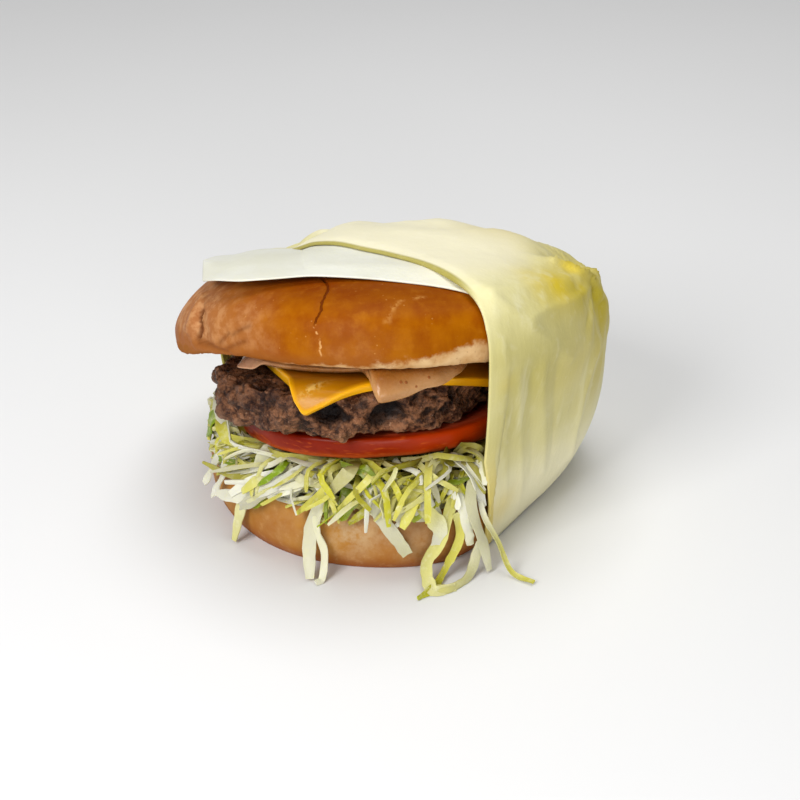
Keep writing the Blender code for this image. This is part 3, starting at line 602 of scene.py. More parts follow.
def make_heel():
    """Rings by azimuth: out under the foot, up a bulging side, over a rounded edge and in across the
    cut face, which slopes down to the back."""
    angle = front_heavy(440)
    top = heel_top_at(angle)
    base = np.linspace(0.06, 1, 14)[:-1, None]
    up = np.linspace(0, 1, 46)[:, None]
    inwards = (1 - np.linspace(0, 1, 30)[1:-1, None] ** 1.3)
    bend = np.linspace(0, np.pi / 2, 7)[1:, None]
    side_height = (top - 0.9) * up
    edge = heel_side(angle, top)
    radius = np.concatenate([
        heel_side(angle, 0.0) * base,
        heel_side(angle, side_height),
        edge - 1.1 * (1 - np.cos(bend)),
        (edge - 1.1) * inwards,
    ])
    height = np.concatenate([
        0 * base * top, side_height, top - 0.9 + 0.9 * np.sin(bend), 0 * inwards * top,
    ])
    x, y = around(HEEL_CENTRE, radius, angle)
    height[-len(inwards):] = level(HEEL_TOP, x, y)[-len(inwards):]
    rings = np.stack([x, y, height], -1)
    push = 0.28 * fractal(rings, 17, 31, 3) + 0.07 * fractal(rings, 4, 35, 3)
    push *= smooth_step(height / 3.0)
    row = np.arange(len(rings))[:, None] + 0 * angle
    cut = smooth_step((row - (len(base) + len(up) + 1)) / 3)
    push = np.minimum(push, 0.25) - cut * 0.1 + cut * 0.12 * fractal(rings, 1.8, 41, 2)
    rings = pressed(rings, push)
    rings[..., 2] = np.maximum(rings[..., 2], 0)
    marks = {"cut": cut, "foot": smooth_step((6.5 - height) / 6), "flour": spots(rings, FLOUR)}
    low, high = (*HEEL_CENTRE, 0.0), (*HEEL_CENTRE, level(HEEL_TOP, *HEEL_CENTRE) - 0.1)
    make_solid("lower_bun", rings, low, high, heel_finish(), "bun_heel", marks)


# ---- tomato ----

def tomato_finish():
    paint = Paint("tomato_flesh", Coat_Weight=0.05, Coat_Roughness=0.2, Specular_IOR_Level=0.12,
                  **see_into(3, 1, 0.5))
    wide = paint.grain(9, 3)
    # Upright streaks, painted highlights on the skin
    streak = paint.grain(5, 3, place=paint.stretched(1, 1, 6)).between(0.56, 0.72)
    flesh = paint.blotch(paint.grain(3), (160, 26, 8), (128, 12, 4))
    colour = paint.over(
        paint.blotch(wide, (130, 31, 0), (112, 18, 0)),
        # Painted light: the skin brightens towards the right, where more light reaches it
        (paint.mark("painted_light_right"), (186, 56, 2)),
        # Painted highlights: pale upright streaks, and a bright band low on the skin's side
        (streak * 0.5, (190, 84, 22)),
        (paint.mark("edge") * 0.6, (206, 96, 40)),
        (paint.mark("face"), paint.over(flesh, (paint.mark("pith"), (224, 96, 54)))),
    )
    relief = 0.06 * wide + 0.10 * paint.grain(1.2, 3) * paint.mark("face")
    return paint.coat(colour, 0.22 + 0.2 * wide, relief)


def make_tomato():
    """Rings by azimuth: out under the slice, round its skin by half an ellipse, and in over its top.
    The flesh is dented between the walls of its chambers, which run out like spokes."""
    angle = front_heavy(300)
    outline = TOMATO_RADIUS + ripple(angle, ((2, 0.5, 1.0), (5, 0.3, 0.2), (3, 0.3, 2)))
    inner, turn = slab_rows(0.05, 1, 22, 18)
    radius = np.concatenate([(outline - 1.2) * inner, outline - 1.2 + 1.6 * np.cos(turn) ** 0.8,
                             (outline - 1.2) * inner[::-1]])
    side = 0.5 + 0.5 * blunt_sine(turn, 0.75)
    lift = np.concatenate([0 * inner, side, 0 * inner + 1]) * TOMATO_THICK + 0 * angle
    x, y = around(TOMATO_CENTRE, radius, angle)
    rings = np.stack([x, y, level(TOMATO_LOW, x, y) + lift], -1)
    face = smooth_step(((outline - 1.0) - radius) / 0.8)
    share = radius / outline
    spoke = bell(np.sin(2.5 * (angle + 0.35 * noise(rings / 14, 6))), 0.30)
    chamber = smooth_step((0.86 - share) / 0.08) * smooth_step((share - 0.16) / 0.10) * (1 - spoke)
    push = 0.16 * fractal(rings, 8, 51, 3) - face * chamber * (0.45 + 0.25 * noise(rings / 1.7, 8))
    rings = pressed(rings, push)
    marks = {
        "face": face, "pith": face * (1 - chamber) * 0.6,
        # Painted light, growing to the right
        "painted_light_right": smooth_step((rings[..., 0] + 14) / 36) * 0.75,
        # Where a painted highlight runs along the lower part of the skin
        "edge": bell(lift - 0.6, 0.8) * (1 - face),
    }
    middle = level(TOMATO_LOW, *TOMATO_CENTRE)
    make_solid("tomato", rings, (*TOMATO_CENTRE, middle), (*TOMATO_CENTRE, middle + TOMATO_THICK),
               tomato_finish(), "tomato_slice", marks)


# ---- beef ----

# Pits in the sear, pressed in and painted near-black as shade, as x, y, z, radius and weight
PITS = ((0.1, -48.0, 45.8, 3.3, 1.7), (-15.2, -49.6, 47.4, 3.0, 1.6), (-32.0, -39.0, 50.0, 2.6, 0.8),
        (-30.5, -43.5, 48.1, 2.0, 0.6), (17.5, -39.5, 47.5, 2.2, 0.7), (9.5, -43.0, 44.5, 1.6, 0.5),
        (-38.0, -34.0, 47.5, 2.0, 0.6), (-21.0, -47.8, 45.0, 1.8, 0.5), (23.5, -26.0, 44.0, 3.0, 0.8),
        (-45.0, -18.0, 44.5, 2.4, 0.7), (-36.0, 8.0, 38.0, 2.6, 0.7), (2.0, 21.0, 37.0, 2.6, 0.7))


def beef_finish():
    paint = Paint("seared_beef", Coat_Weight=0.06, Coat_Roughness=0.25, Specular_IOR_Level=0.2)
    wide, fine = paint.grain(7, 4, 0.6), paint.grain(1.5, 6, 0.75)
    fleck = paint.pores(1.2).between(0.24, 0.08) * paint.grain(4).between(0.46, 0.60)
    # Gaps between the mince's cells, painted dark as shade
    gap = paint.pores(2.2).between(0.44, 0.66) * paint.grain(2.5, 3).between(0.40, 0.60)
    colour = paint.over(
        paint.blotch(0.45 * wide + 0.55 * fine, (50, 22, 10), (150, 100, 67), 0.40, 0.58),
        (fine.between(0.56, 0.78) * 0.6, (190, 146, 112)),
        # Painted highlight on the raised lumps
        (paint.mark("crest_highlight") * 0.45, (164, 124, 94)),
        (fleck * 0.5, (196, 158, 128)),
        (gap * 0.6, (22, 9, 6)),
        # Painted shade on the left and a little on the upper side, under the upper bun
        (paint.mark("painted_shade_left") * 0.75, (40, 18, 14)),
        # Painted shade: the pits and the deepest crevices near-black
        (paint.mark("hollow_shade") * 0.97, (8, 2, 2)),
    )
    relief = 0.65 * fine + 0.45 * paint.grain(0.6, 3) - 0.35 * paint.pores(1.2) - 0.4 * gap
    return paint.coat(colour, 0.38 + 0.30 * fine, relief)


def make_patty():
    """Rings by azimuth: out under the patty, up a bulging side and in over its top. Coarse and fine
    cells of mince are pressed in at their borders, and the sear has pits."""
    angle = front_heavy(460)
    inner, turn = slab_rows(0.05, 1, 16, 62)
    outset = np.concatenate([-3.0 + 0 * inner, -3.0 + 4.8 * np.cos(turn) ** 0.62, -3.0 + 0 * inner])
    share = np.concatenate([0 * inner, 0.5 + 0.5 * blunt_sine(turn, 0.9), 1 + 0 * inner])
    reach = np.concatenate([inner, 1 + 0 * turn, inner[::-1]])
    lean = 1.9 * share
    waves = ((2, 0.7, 0.5), (3, 0.9, 2.2), (7, 0.7, 1.0 + lean), (11, 0.6, 0.4 - 2 * lean),
             (17, 0.4, 3.0 * lean))
    edge = PATTY_RADIUS + ripple(angle, waves)
    radius = (edge + outset) * reach
    x, y = around(PATTY_CENTRE, radius, angle)
    low, high = level(PATTY_LOW, x, y), level(PATTY_TOP, x, y)
    rings = np.stack([x, y, low + share * (high - low)], -1)
    bent_place = rings + 1.2 * np.stack([noise(rings / 4 + k * 9.7, 60 + k) for k in range(3)], -1)
    lumps = ((7.5, 71), (2.6, 81), (1.35, 87))
    coarse, fine, grain = (cells(bent_place / size, seed)[0] for size, seed in lumps)
    pit = spots(rings, PITS)
    side = smooth_step((reach - 0.86) / 0.10)
    push = 1.9 * (0.65 - 1.5 * coarse) + 1.05 * (0.55 - 1.3 * fine) + 0.60 * (0.5 - grain)
    push += 0.5 * fractal(rings, 6, 91, 3) + 0.40 * fractal(rings, 1.3, 95, 2) - 3.4 * np.minimum(pit, 1)
    push = np.where(side > 0.5, push, np.clip(push, -1.5, 0.1)) * (0.5 + 0.5 * side)
    rings = pressed(rings, np.clip(push, -4.0, 1.3))
    left = smooth_step((-rings[..., 0] - 16) / 18)
    upper = smooth_step((share - 0.45) / 0.3)
    marks = {
        # Painted shade in the pits and deep crevices
        "hollow_shade": np.maximum(smooth_step(-push - 0.75) * 0.9, smooth_step((pit - 0.40) / 0.35)),
        "crest_highlight": smooth_step((push - 0.25) / 0.7),
        # Painted shade, strongest at the left
        "painted_shade_left": np.clip(left * 0.7 + 0.2 * upper, 0, 1) * (0.55 + 0.45 * noise(rings / 5, 97)),
    }
    low, high = ((*PATTY_CENTRE, level(layer, *PATTY_CENTRE)) for layer in (PATTY_LOW, PATTY_TOP))
    make_solid("patty", rings, low, high, beef_finish(), "beef_patty", marks)


# ---- cheese ----

def draped(x, y, lift):
    """A place on a sheet laid over the patty: flat inside its rim, then bent down by an arc and
    straight on, most of all at the front. Lift is square to the sheet."""
    dx, dy = x - PATTY_CENTRE[0], y - PATTY_CENTRE[1]
    reach = np.maximum(np.hypot(dx, dy), 1e-6)
    past = np.maximum(reach - PATTY_RADIUS + 1.5, 0)
    off = degrees_off(np.arctan2(dy, dx), -98)
    steepest = np.radians(18 + 47 * bell(off, 42))
    bend = np.minimum(past / DRAPE_RADIUS, steepest)
    straight = past - bend * DRAPE_RADIUS
    out = DRAPE_RADIUS * np.sin(bend) + (straight * np.cos(bend) + lift * np.sin(bend))
    down = DRAPE_RADIUS * (1 - np.cos(bend)) + straight * np.sin(bend)
    x, y = x + dx / reach * (out - past), y + dy / reach * (out - past)
    return np.stack([x, y, level(PATTY_TOP, x, y) - down + lift * np.cos(bend)], -1)


def cheese_finish():
    paint = Paint("cheese", Coat_Weight=0.12, Coat_Roughness=0.2, Specular_IOR_Level=0.2,
                  **see_into(2.5, 1.2, 0.3))
    wide = paint.grain(12, 3)
    # A small pale streak on the slice near its tip, raised a little
    pale_streak = paint.mark("pale_streak") * paint.grain(1.2, 3).between(0.40, 0.60)
    colour = paint.over(
        paint.blotch(wide, (170, 106, 0), (152, 90, 0)),
        (paint.mark("tip") * 0.7, (208, 144, 2)),
        (paint.mark("rim"), (234, 168, 6)),
        # Painted sheen: lighter orange patches
        (paint.grain(5, 4, 0.6).between(0.60, 0.76) * 0.35, (212, 140, 20)),
        (pale_streak * 0.7, (236, 198, 112)),
    )
    relief = 0.12 * wide + 0.05 * paint.grain(1.6, 3) + 0.15 * pale_streak
    return paint.coat(colour, 0.24 + 0.18 * wide, relief)


def make_cheese():
    """A square outline with rounded corners, by azimuth in the slice's own plane, carried in under
    the slice, round its edge by half a circle and over its top, and then draped over the patty."""
    angle = np.linspace(0, 2 * np.pi, 360, endpoint=False)[None, :]
    half = CHEESE_SIDE / 2
    square = half / (abs(np.cos(angle)) ** 60 + abs(np.sin(angle)) ** 60) ** (1 / 60)
    inner, turn = slab_rows(0.04, 1, 34, 12)
    inset = 0.6
    radius = np.concatenate([(square - inset) * inner, square - inset + inset * np.cos(turn),
                             (square - inset) * inner[::-1]])
    side = 0.5 + 0.5 * blunt_sine(turn, 0.6)
    lift = np.concatenate([0 * inner, side, 0 * inner + 1]) * CHEESE_THICK + 0 * angle
    cos, sin = math.cos(CHEESE_TURN), math.sin(CHEESE_TURN)
    p, q = radius * np.cos(angle) + half, radius * np.sin(angle) + half
    x = CHEESE_CORNER[0] + p * cos - q * sin
    y = CHEESE_CORNER[1] + p * sin + q * cos
    flat = np.stack([x, y, 0 * x], -1)
    lift = 2 * GAP + lift + 0.10 * fractal(flat, 9, 101, 2) * (lift > CHEESE_THICK * 0.5)
    rings = draped(x, y, lift)
    marks = {
        "rim": smooth_step((radius - square + 1.0) / 0.6) * (1 - 0.7 * smooth_step((x - 12) / 8)),
        "tip": bell(np.hypot(p, q), 9),
        "pale_streak": bell(p - 5.2, 3.0) * bell(q - 4.8, 0.9),
    }
    centre = (CHEESE_CORNER[0] + half * (cos - sin), CHEESE_CORNER[1] + half * (sin + cos))
    low, high = (draped(np.float64(centre[0]), np.float64(centre[1]), h) for h in (0.6, 0.6 + CHEESE_THICK))
    make_solid("cheese", rings, low, high, cheese_finish(), "cheese_slice", marks)


# ---- sauce ----

def past_cheese(x, y):
    """How far outside the flat slice's square a place is, negative inside."""
    cos, sin = math.cos(CHEESE_TURN), math.sin(CHEESE_TURN)
    dx, dy = x - CHEESE_CORNER[0], y - CHEESE_CORNER[1]
    half = CHEESE_SIDE / 2
    return np.maximum(abs(dx * cos + dy * sin - half), abs(dy * cos - dx * sin - half)) - half


def sauce_edge(angle):
    waves = ((3, 0.9, 0.7), (5, 0.7, 2.0), (8, 0.4, 1.1), (19, 0.25, 0.3), (31, 0.15, 1.3))
    off = degrees_off(angle, -86)
    lobe = 9.5 * smooth_step(off / 6) * smooth_step((70 - off) / 32)
    lobe += 0.5 * bell(off - 10, 5) + 1.5 * bell(off - 27, 9)
    left = 4.5 * bell(degrees_off(angle, -150), 11)
    return 30.0 + lobe + left - 8.0 * np.maximum(np.sin(angle), 0) + ripple(angle, waves)


def sauce_floor(x, y):
    """How far above the patty the sauce lies: on the cheese, or nearer the beef past its edge."""
    reach = np.hypot(x - PATTY_CENTRE[0], y - PATTY_CENTRE[1])
    lift = CHEESE_THICK + GAP * (3 + 3 * smooth_step((reach - PATTY_RADIUS) / 4 + 2))
    return lift - 1.8 * smooth_step((past_cheese(x, y) - 3.2) / 3.0)


def crown_underside(x, y):
    past = np.maximum(-x + CROWN_CENTRE[0] - CROWN_DROOP_FROM, 0) / (CROWN_WIDE - CROWN_DROOP_FROM)
    return CROWN_CENTRE[2] - math.tan(CROWN_LEAN) * (y - CROWN_CENTRE[1]) - CROWN_DROOP * past**2


def sauce_finish():
    paint = Paint("sauce", Coat_Weight=0.2, Coat_Roughness=0.15, Specular_IOR_Level=0.25,
                  **see_into(2, 1.2, 0.8))
    wide, fine = paint.grain(7, 4), paint.grain(1.4, 3)
    speck = paint.pores(3.4).between(0.16, 0.08)
    colour = paint.over(
        paint.blotch(wide, (160, 100, 36), (136, 76, 16)),
        (paint.mark("thin") * 0.75, (198, 152, 102)),
        (paint.mark("pale"), (192, 148, 120)),
        (speck * 0.8, (140, 70, 24)),
    )
    return paint.coat(colour, 0.20 + 0.15 * fine, 0.25 * wide + 0.10 * fine + 0.10 * speck)


def make_sauce():
    """Rings by azimuth round the patty's middle: out under the spread, round its thick lobed edge by
    half an ellipse, and in over a top that fills the wedge up to the bun."""
    angle = front_heavy(420)
    outline = sauce_edge(angle)
    inner, turn = slab_rows(0.05, 0.955, 24, 14)
    share = np.concatenate([inner, 0.955 + 0.045 * np.cos(turn), inner[::-1]])
    rise = np.concatenate([0 * inner, 0.5 + 0.5 * np.sin(turn), 0 * inner + 1])
    x, y = around(PATTY_CENTRE, outline * share, angle)
    flat = np.stack([x, y, 0 * x], -1)
    lump = fractal(flat, 6, 111, 3)
    wedge = 12.0 * smooth_step((1 - share) / 0.42)
    thick = 1.25 + 0.6 * lump + wedge
    floor = sauce_floor(x, y)
    rings = draped(x, y, floor + rise * np.maximum(thick, 0.7))
    roof = crown_underside(rings[..., 0], rings[..., 1]) - 2 * GAP
    rings[..., 2] = np.where(rise > 0, np.minimum(rings[..., 2], roof), rings[..., 2])
    marks = {
        "thin": np.clip(smooth_step((share - 0.90) / 0.07) * (0.85 - 0.5 * lump), 0, 1) + 0 * x,
        "pale": bell(degrees_off(angle, -150), 16) * smooth_step((share - 0.7) / 0.2) * 0.8,
    }
    middle = level(PATTY_TOP, *PATTY_CENTRE) + CHEESE_THICK + 3 * GAP
    roof = crown_underside(*PATTY_CENTRE) - 2 * GAP
    make_solid("spread", rings, (*PATTY_CENTRE, middle), (*PATTY_CENTRE, roof), sauce_finish(),
               "sauce_layer", marks)


# ---- lettuce ----

def lettuce_finish():
    paint = Paint("lettuce", Coat_Weight=0.1, Coat_Roughness=0.25, Specular_IOR_Level=0.25,
                  **see_into(2, 2.4, 0.8, 0.15))
    tint, vein = paint.mark("tint"), paint.grain(2.4, 4, 0.6)
    colour = paint.over(
        paint.blotch(tint, (226, 225, 204), (204, 198, 92), 0.02, 0.36),
        (tint.between(0.36, 0.66), (190, 184, 40)),
        (tint.between(0.66, 0.98), (122, 150, 14)),
        (vein.between(0.50, 0.72) * 0.55, (226, 224, 178)),
        # Painted shade: dark olive where the lettuce lies inside the heap
        (paint.mark("deep_shade"), (96, 82, 14)),
    )
    return paint.coat(colour, 0.34 + 0.2 * vein, 0.16 * vein + 0.05 * paint.grain(0.6, 2))


def smooth_paths(control, stations):
    """Catmull-Rom curves through each row's control points, all rows at once."""
    before = 2 * control[:, :1] - control[:, 1:2]
    behind = 2 * control[:, -1:] - control[:, -2:-1]
    given = np.concatenate([before, control, behind], 1)
    at = np.linspace(0, control.shape[1] - 1, stations)
    i = np.minimum(at.astype(int), control.shape[1] - 2)
    t = (at - i)[None, :, None]
    a, b, c, d = (given[:, i + k] for k in range(4))
    return 0.5 * (2 * b + (c - a) * t + (2 * a - 5 * b + 4 * c - d) * t**2 + (3 * b - a - 3 * c + d) * t**3)


def round_heel(azimuth, radius, height):
    """Points by azimuth in degrees, radius and height round the lower bun's axis."""
    x, y = around(HEEL_CENTRE, radius, np.radians(azimuth))
    return np.stack([x, y, height + 0 * x], -1)


def clear_of_buns(points):
    """Moves points outside the lower bun's side, above the table and under the tomato."""
    x, y, z = points[..., 0], points[..., 1] - HEEL_Y, points[..., 2]
    angle, radius = np.arctan2(y, x), np.hypot(x, y)
    top = heel_top_at(angle)
    beside = z < top + 0.9
    side = heel_side(angle, np.clip(z, 0, top)) + 0.9
    over_heel = radius <= 44
    pushed = np.where(beside & ~over_heel, np.maximum(radius, side), radius)
    z = np.where(over_heel, np.maximum(z, level(HEEL_TOP, x, y + HEEL_Y) + 0.6), z)
    x, y = x * pushed / np.maximum(radius, 1e-6), y * pushed / np.maximum(radius, 1e-6) + HEEL_Y
    tomato = np.hypot(x - TOMATO_CENTRE[0], y - TOMATO_CENTRE[1])
    roof = level(TOMATO_LOW, x, y) - 0.9
    front = (angle > -2.62) & (angle < -1.35)
    under = tomato < np.where(front, TOMATO_RADIUS + 9, TOMATO_RADIUS + 1)
    z = np.where(under, np.minimum(z, roof), z)
    return np.stack([x, y, np.maximum(z, 0.5)], -1)


def strips(paths, width, twist, outward, seed, thick=0.34):
    """Flat strips along paths: at each station a six-cornered section, cupped across, is set square
    to the path. It twists on the way, is ragged in width and narrows to both ends."""
    count, stations = paths.shape[:2]
    draw = np.random.default_rng(seed)
    ahead = np.gradient(paths, axis=1)
    ahead /= np.maximum(np.linalg.norm(ahead, axis=-1, keepdims=True), 1e-6)
    side = np.cross(ahead, outward)
    side /= np.maximum(np.linalg.norm(side, axis=-1, keepdims=True), 1e-6)
    face = np.cross(side, ahead)
    along = np.linspace(0, 1, stations)[None, :]
    turn = np.radians(twist)[:, None] * (along - 0.3)
    across = side * np.cos(turn)[..., None] + face * np.sin(turn)[..., None]
    through = face * np.cos(turn)[..., None] - side * np.sin(turn)[..., None]
    ragged = 1 + 0.24 * noise(paths / 1.7, seed)
    blunt = draw.uniform(0.15, 0.65, (count, 1))
    taper = 1 - blunt * smooth_step((along - 0.86) / 0.14) - 0.3 * smooth_step((0.08 - along) / 0.08)
    half = 0.5 * width[:, None] * ragged * taper
    cup = draw.uniform(-0.35, 0.55, count)[:, None] * half
    section = ((-1, -0.5), (0, -0.5), (1, -0.5), (1, 0.5), (0, 0.5), (-1, 0.5))
    phase = draw.uniform(0, 6, (count, 1))
    frill = 0.22 * half * np.sin(along * draw.uniform(9, 20, (count, 1)) + phase)
    rims = [
        paths + across * (a * half)[..., None]
        + through * (b * thick + cup * (a * a - 0.4) + a * frill)[..., None]
        for a, b in section
    ]
    points = np.stack(rims, 2)
    sides = len(section)
    base = np.arange(count)[:, None] * stations * sides
    quads = (grid_faces(stations, sides, True)[None] + base[..., None]).reshape(-1, 4)
    start = np.array([[0, 5, 4, 1], [1, 4, 3, 2]])
    finish = np.array([[0, 1, 4, 5], [1, 2, 3, 4]]) + (stations - 1) * sides
    caps = (np.concatenate([start, finish])[None] + base[..., None]).reshape(-1, 4)
    return points, np.concatenate([quads, caps])


def make_core():
    """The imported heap's inside, a wedge that opens to the front, as rings round the middle."""
    angle = front_heavy(220)
    radius = 42.0 + ripple(angle, ((4, 1.0, 0.2), (7, 0.9, 1.5), (13, 0.6, 0.4)))
    share = np.array([0.0, 0.0, 0.0, 0.0, 0.12, 0.3, 0.5, 0.7, 0.88, 1.0, 1.0, 1.0, 1.0])[:, None]
    reach = np.array([0.2, 0.5, 0.8, 0.93, 0.98, 1.0, 0.99, 1.0, 0.98, 0.93, 0.8, 0.5, 0.2])[:, None]
    x, y = around(HEEL_CENTRE, reach * radius, angle)
    y = np.minimum(y, 25.5)
    low, high = level(HEEL_TOP, x, y) + 0.6, level(TOMATO_LOW, x, y) - 0.6
    rings = np.stack([x, y, low + share * (high - low)], -1)
    middle = level(TOMATO_LOW, 0, -8)
    return rings, (0.0, -8.0, level(HEEL_TOP, 0, -8) + 0.6), (0.0, -8.0, middle - 0.6)


# Long strips that hang at the front. Each has its stations as azimuth, radius and height, then its
# width, its twist, and its tint at the start and at the end: 0 white, 0.5 yellow, 1 green
LONG_STRIPS = (
    (((-130, 41, 30), (-132, 47, 29.5), (-135, 51.0, 21.5), (-138, 53.3, 12), (-139, 56, 0.8)),
     4.6, 30, 0.05, 0.25),
    (((-112, 40, 28), (-117, 48.5, 27.5), (-127, 52.5, 21.5), (-138, 54.5, 15), (-147, 56.5, 12.5)),
     4.6, -25, 0.05, 0.0),
    (((-106, 40, 27), (-107, 48, 27.5), (-110.7, 52.3, 19.5), (-113, 53.5, 9.6), (-111, 58.4, 0.8)),
     4.5, 30, 0.15, 0.10),
    (((-112, 52.8, 17), (-110.5, 53.6, 12), (-108.5, 54.2, 7), (-108, 57.5, 1.2), (-109, 59.5, 0.8)),
     2.4, 10, 0.15, 0.10),
    (((-103, 41, 25), (-98.5, 48.6, 25.3), (-92.0, 52.8, 18.3), (-87.5, 53.5, 12), (-85, 53.8, 8.0)),
     4.1, -40, 0.05, 0.15),
    (((-66, 41, 31), (-71.4, 46.8, 31.5), (-78, 49.5, 28.8), (-85, 51.5, 25), (-90, 52.5, 21)),
     5.6, 20, 0.55, 0.50),
    (((-62, 42, 27), (-64, 49.0, 27.5), (-66.5, 53.0, 20), (-63.5, 54.5, 9), (-62.5, 57.0, 0.8)),
     3.6, 30, 0.20, 0.10),
    (((-63, 50, 22), (-63, 54.6, 16), (-60.0, 56.6, 9), (-58.5, 61.2, 1.4), (-56.0, 67.5, 0.8)),
     1.7, 60, 0.02, 0.50),
    (((-70, 49.6, 24), (-75.7, 53.6, 12), (-80, 54.6, 5), (-79.4, 60.7, 0.9), (-73.6, 60.6, 0.9)),
     3.8, 20, 0.30, 0.22),
    (((-79.4, 60.2, 0.9), (-75.6, 61.2, 0.9), (-70.4, 59.0, 1.0), (-66.5, 55.8, 3.5), (-64.7, 54.2, 9.0)),
     3.2, -30, 0.30, 0.12),
    (((-71, 52.6, 18.3), (-70.1, 53.6, 11.3), (-74.4, 54.4, 3.0), (-79, 59.5, 0.9), (-83.5, 63.4, 0.8)),
     2.6, 10, 0.25, 0.80),
    (((-67, 47, 25), (-68.8, 51.9, 21.4), (-67.6, 53.8, 13.5), (-67.2, 54.1, 10.5), (-67.0, 54.2, 8.5)),
     3.4, 25, 0.05, 0.15),
    (((-148, 41, 25), (-152, 48.5, 22), (-156, 52.0, 17), (-157, 54.0, 12), (-158, 55.5, 9)),
     3.6, 25, 0.05, 0.0),
    (((-158, 42, 25), (-154, 48.4, 23), (-150, 51.8, 17.5), (-151, 53.5, 12), (-152, 55.5, 8)),
     3.4, -25, 0.10, 0.0),
    (((-176, 42, 20), (-172.9, 49.5, 18.2), (-168, 51.4, 21.9), (-165.0, 50.4, 26.0), (-163, 48.0, 29.0)),
     7.2, 15, 1.0, 0.90),
    (((-122, 40, 25), (-124, 47.5, 25), (-128, 51.3, 21.5), (-131, 53.2, 17.2), (-134, 53.8, 13.5)),
     5.0, 15, 1.0, 0.85),
    (((-116, 40, 27), (-120, 47.5, 27), (-126, 51.6, 22.0), (-131, 54.0, 16.8), (-136, 55.6, 13.0)),
     3.8, -15, 0.20, 0.05),
    (((-100, 40, 26), (-101, 47.0, 25), (-102, 50.0, 22.4), (-103, 51.4, 20.0), (-105, 52.6, 17.6)),
     6.0, 15, 1.0, 0.85),
    (((-90, 40, 27), (-88, 47.0, 26), (-86, 50.0, 23.4), (-84, 51.8, 20.6), (-82, 52.8, 17.8)),
     5.4, -15, 0.95, 0.85),
    (((-92, 41, 26), (-84, 49.0, 24.3), (-79, 52.2, 19.3), (-76, 53.5, 14.8), (-77, 54.2, 10.5)),
     5.2, 35, 0.50, 0.05),
)


def long_strips():
    stations = 22
    control = np.array([round_heel(*np.array(row[0], float).T) for row in LONG_STRIPS])
    paths = clear_of_buns(smooth_paths(control, stations))
    width, twist, first, last = (np.array([row[k] for row in LONG_STRIPS], float) for k in (1, 2, 3, 4))
    outward = paths * (1, 1, 0) + np.array((0, 0, 25.0))
    along = np.linspace(0, 1, stations)[None, :]
    tint = first[:, None] + (last - first)[:, None] * along
    points, faces = strips(paths, 0.80 * width, twist * 0.5, outward, 5, 0.40)
    return points, faces, tint


# Azimuths in degrees that the wrap's mouth leaves open, and those at its left rear
MOUTH, REAR = (-192, -63), (-203, -186)


def loose_strips(draw, count, kind, start, stop):
    """Seeded strips of one kind between two azimuths: 'hanging' ones come out of the gap and droop
    over the lower bun's edge, and 'lying' ones run along it in the gap."""
    azimuth = start + (stop - start) * (np.arange(count) + draw.uniform(-0.5, 0.5, count)) / count
    rim = round_heel(azimuth, 48.0, 0.0)
    low = level(HEEL_TOP, rim[:, 0], rim[:, 1]) + 1.2
    high = np.maximum(level(TOMATO_LOW, rim[:, 0], rim[:, 1]) - 0.6, low + 1.5)
    height = low + (high - low) * draw.uniform(0, 1, count)
    lefty = smooth_step((-azimuth - 108) / 14)
    if kind == "hanging":
        height = low + (high - low) * draw.uniform(0.15, 1, count)
        drift = draw.uniform(-18, 14, count) - 12 * lefty
        reach = draw.uniform(49.5, 56.0, count)
        reach = np.where(azimuth > -72, np.minimum(reach, 52), reach)
        reach = np.where(azimuth < -138, np.minimum(reach, 51.5), reach)
        drop = draw.uniform(2, 15, count)
        lowest = 16.5 - 2.5 * lefty + draw.uniform(-1.5, 4, count)
        curl = draw.uniform(-5, 5, count)
        end = np.maximum(height - drop, lowest)
        table = (
            (azimuth - 0.5 * drift, 36.0, height - 1),
            (azimuth, 46.0, height + draw.uniform(-0.5, 1.5, count)),
            (azimuth + 0.5 * drift + curl, 0.3 * 46.5 + 0.7 * reach,
             height + 0.35 * (end - height) + draw.uniform(0, 2.5, count)),
            (azimuth + drift, reach, end),
        )
    else:
        run = draw.uniform(24, 52, count) * np.where(draw.uniform(0, 1, count) < 0.5, -1, 1)
        tilt = draw.uniform(-4, 4, count)
        near, far = draw.uniform(42, 48, count), draw.uniform(44, 51, count)
        far = np.where(azimuth > -76, np.minimum(far, 49), far)
        table = (
            (azimuth, near - 3, height - tilt),
            (azimuth + 0.35 * run, near + 1.5, height - 0.3 * tilt + draw.uniform(-1, 1.5, count)),
            (azimuth + 0.7 * run, far + 0.5, height + 0.4 * tilt),
            (azimuth + run, far - draw.uniform(0, 4, count), height + tilt - 0.5),
        )
    first = start + 2 + draw.uniform(-8, 16, count)
    last = MOUTH[1] + 1.5
    control = np.stack([round_heel(np.clip(row[0], first, last), *row[1:]) for row in table], 1)
    paths = clear_of_buns(smooth_paths(control, 10))
    width = draw.uniform(0.8, 2.0, count)
    width = width + draw.uniform(0.3, 1.6, count) * (draw.uniform(0, 1, count) < 0.15)
    twist = draw.uniform(-50, 50, count) * np.where(draw.uniform(0, 1, count) < 0.25, 2.0, 1.0)
    outward = np.stack([np.cos(np.radians(azimuth)), np.sin(np.radians(azimuth)), 0.5 + 0 * azimuth], -1)
    outward = (outward + draw.uniform(-0.7, 0.7, (count, 3)))[:, None]
    base = draw.choice((0.02, 0.15, 0.34, 0.5, 0.95), count, p=(0.26, 0.24, 0.22, 0.17, 0.11))
    base = np.where((azimuth > -96) & (base > 0.7), 0.55, base) + 0.11 * (1 - lefty) * (base < 0.4)
    change = draw.uniform(-0.42, 0.4, (count, 1)) * (base < 0.9)[:, None]
    tint = base[:, None] + change * np.linspace(0, 1, 10)[None, :]
    points, faces = strips(paths, width, twist, outward, int(draw.integers(1000)))
    return points, faces, tint


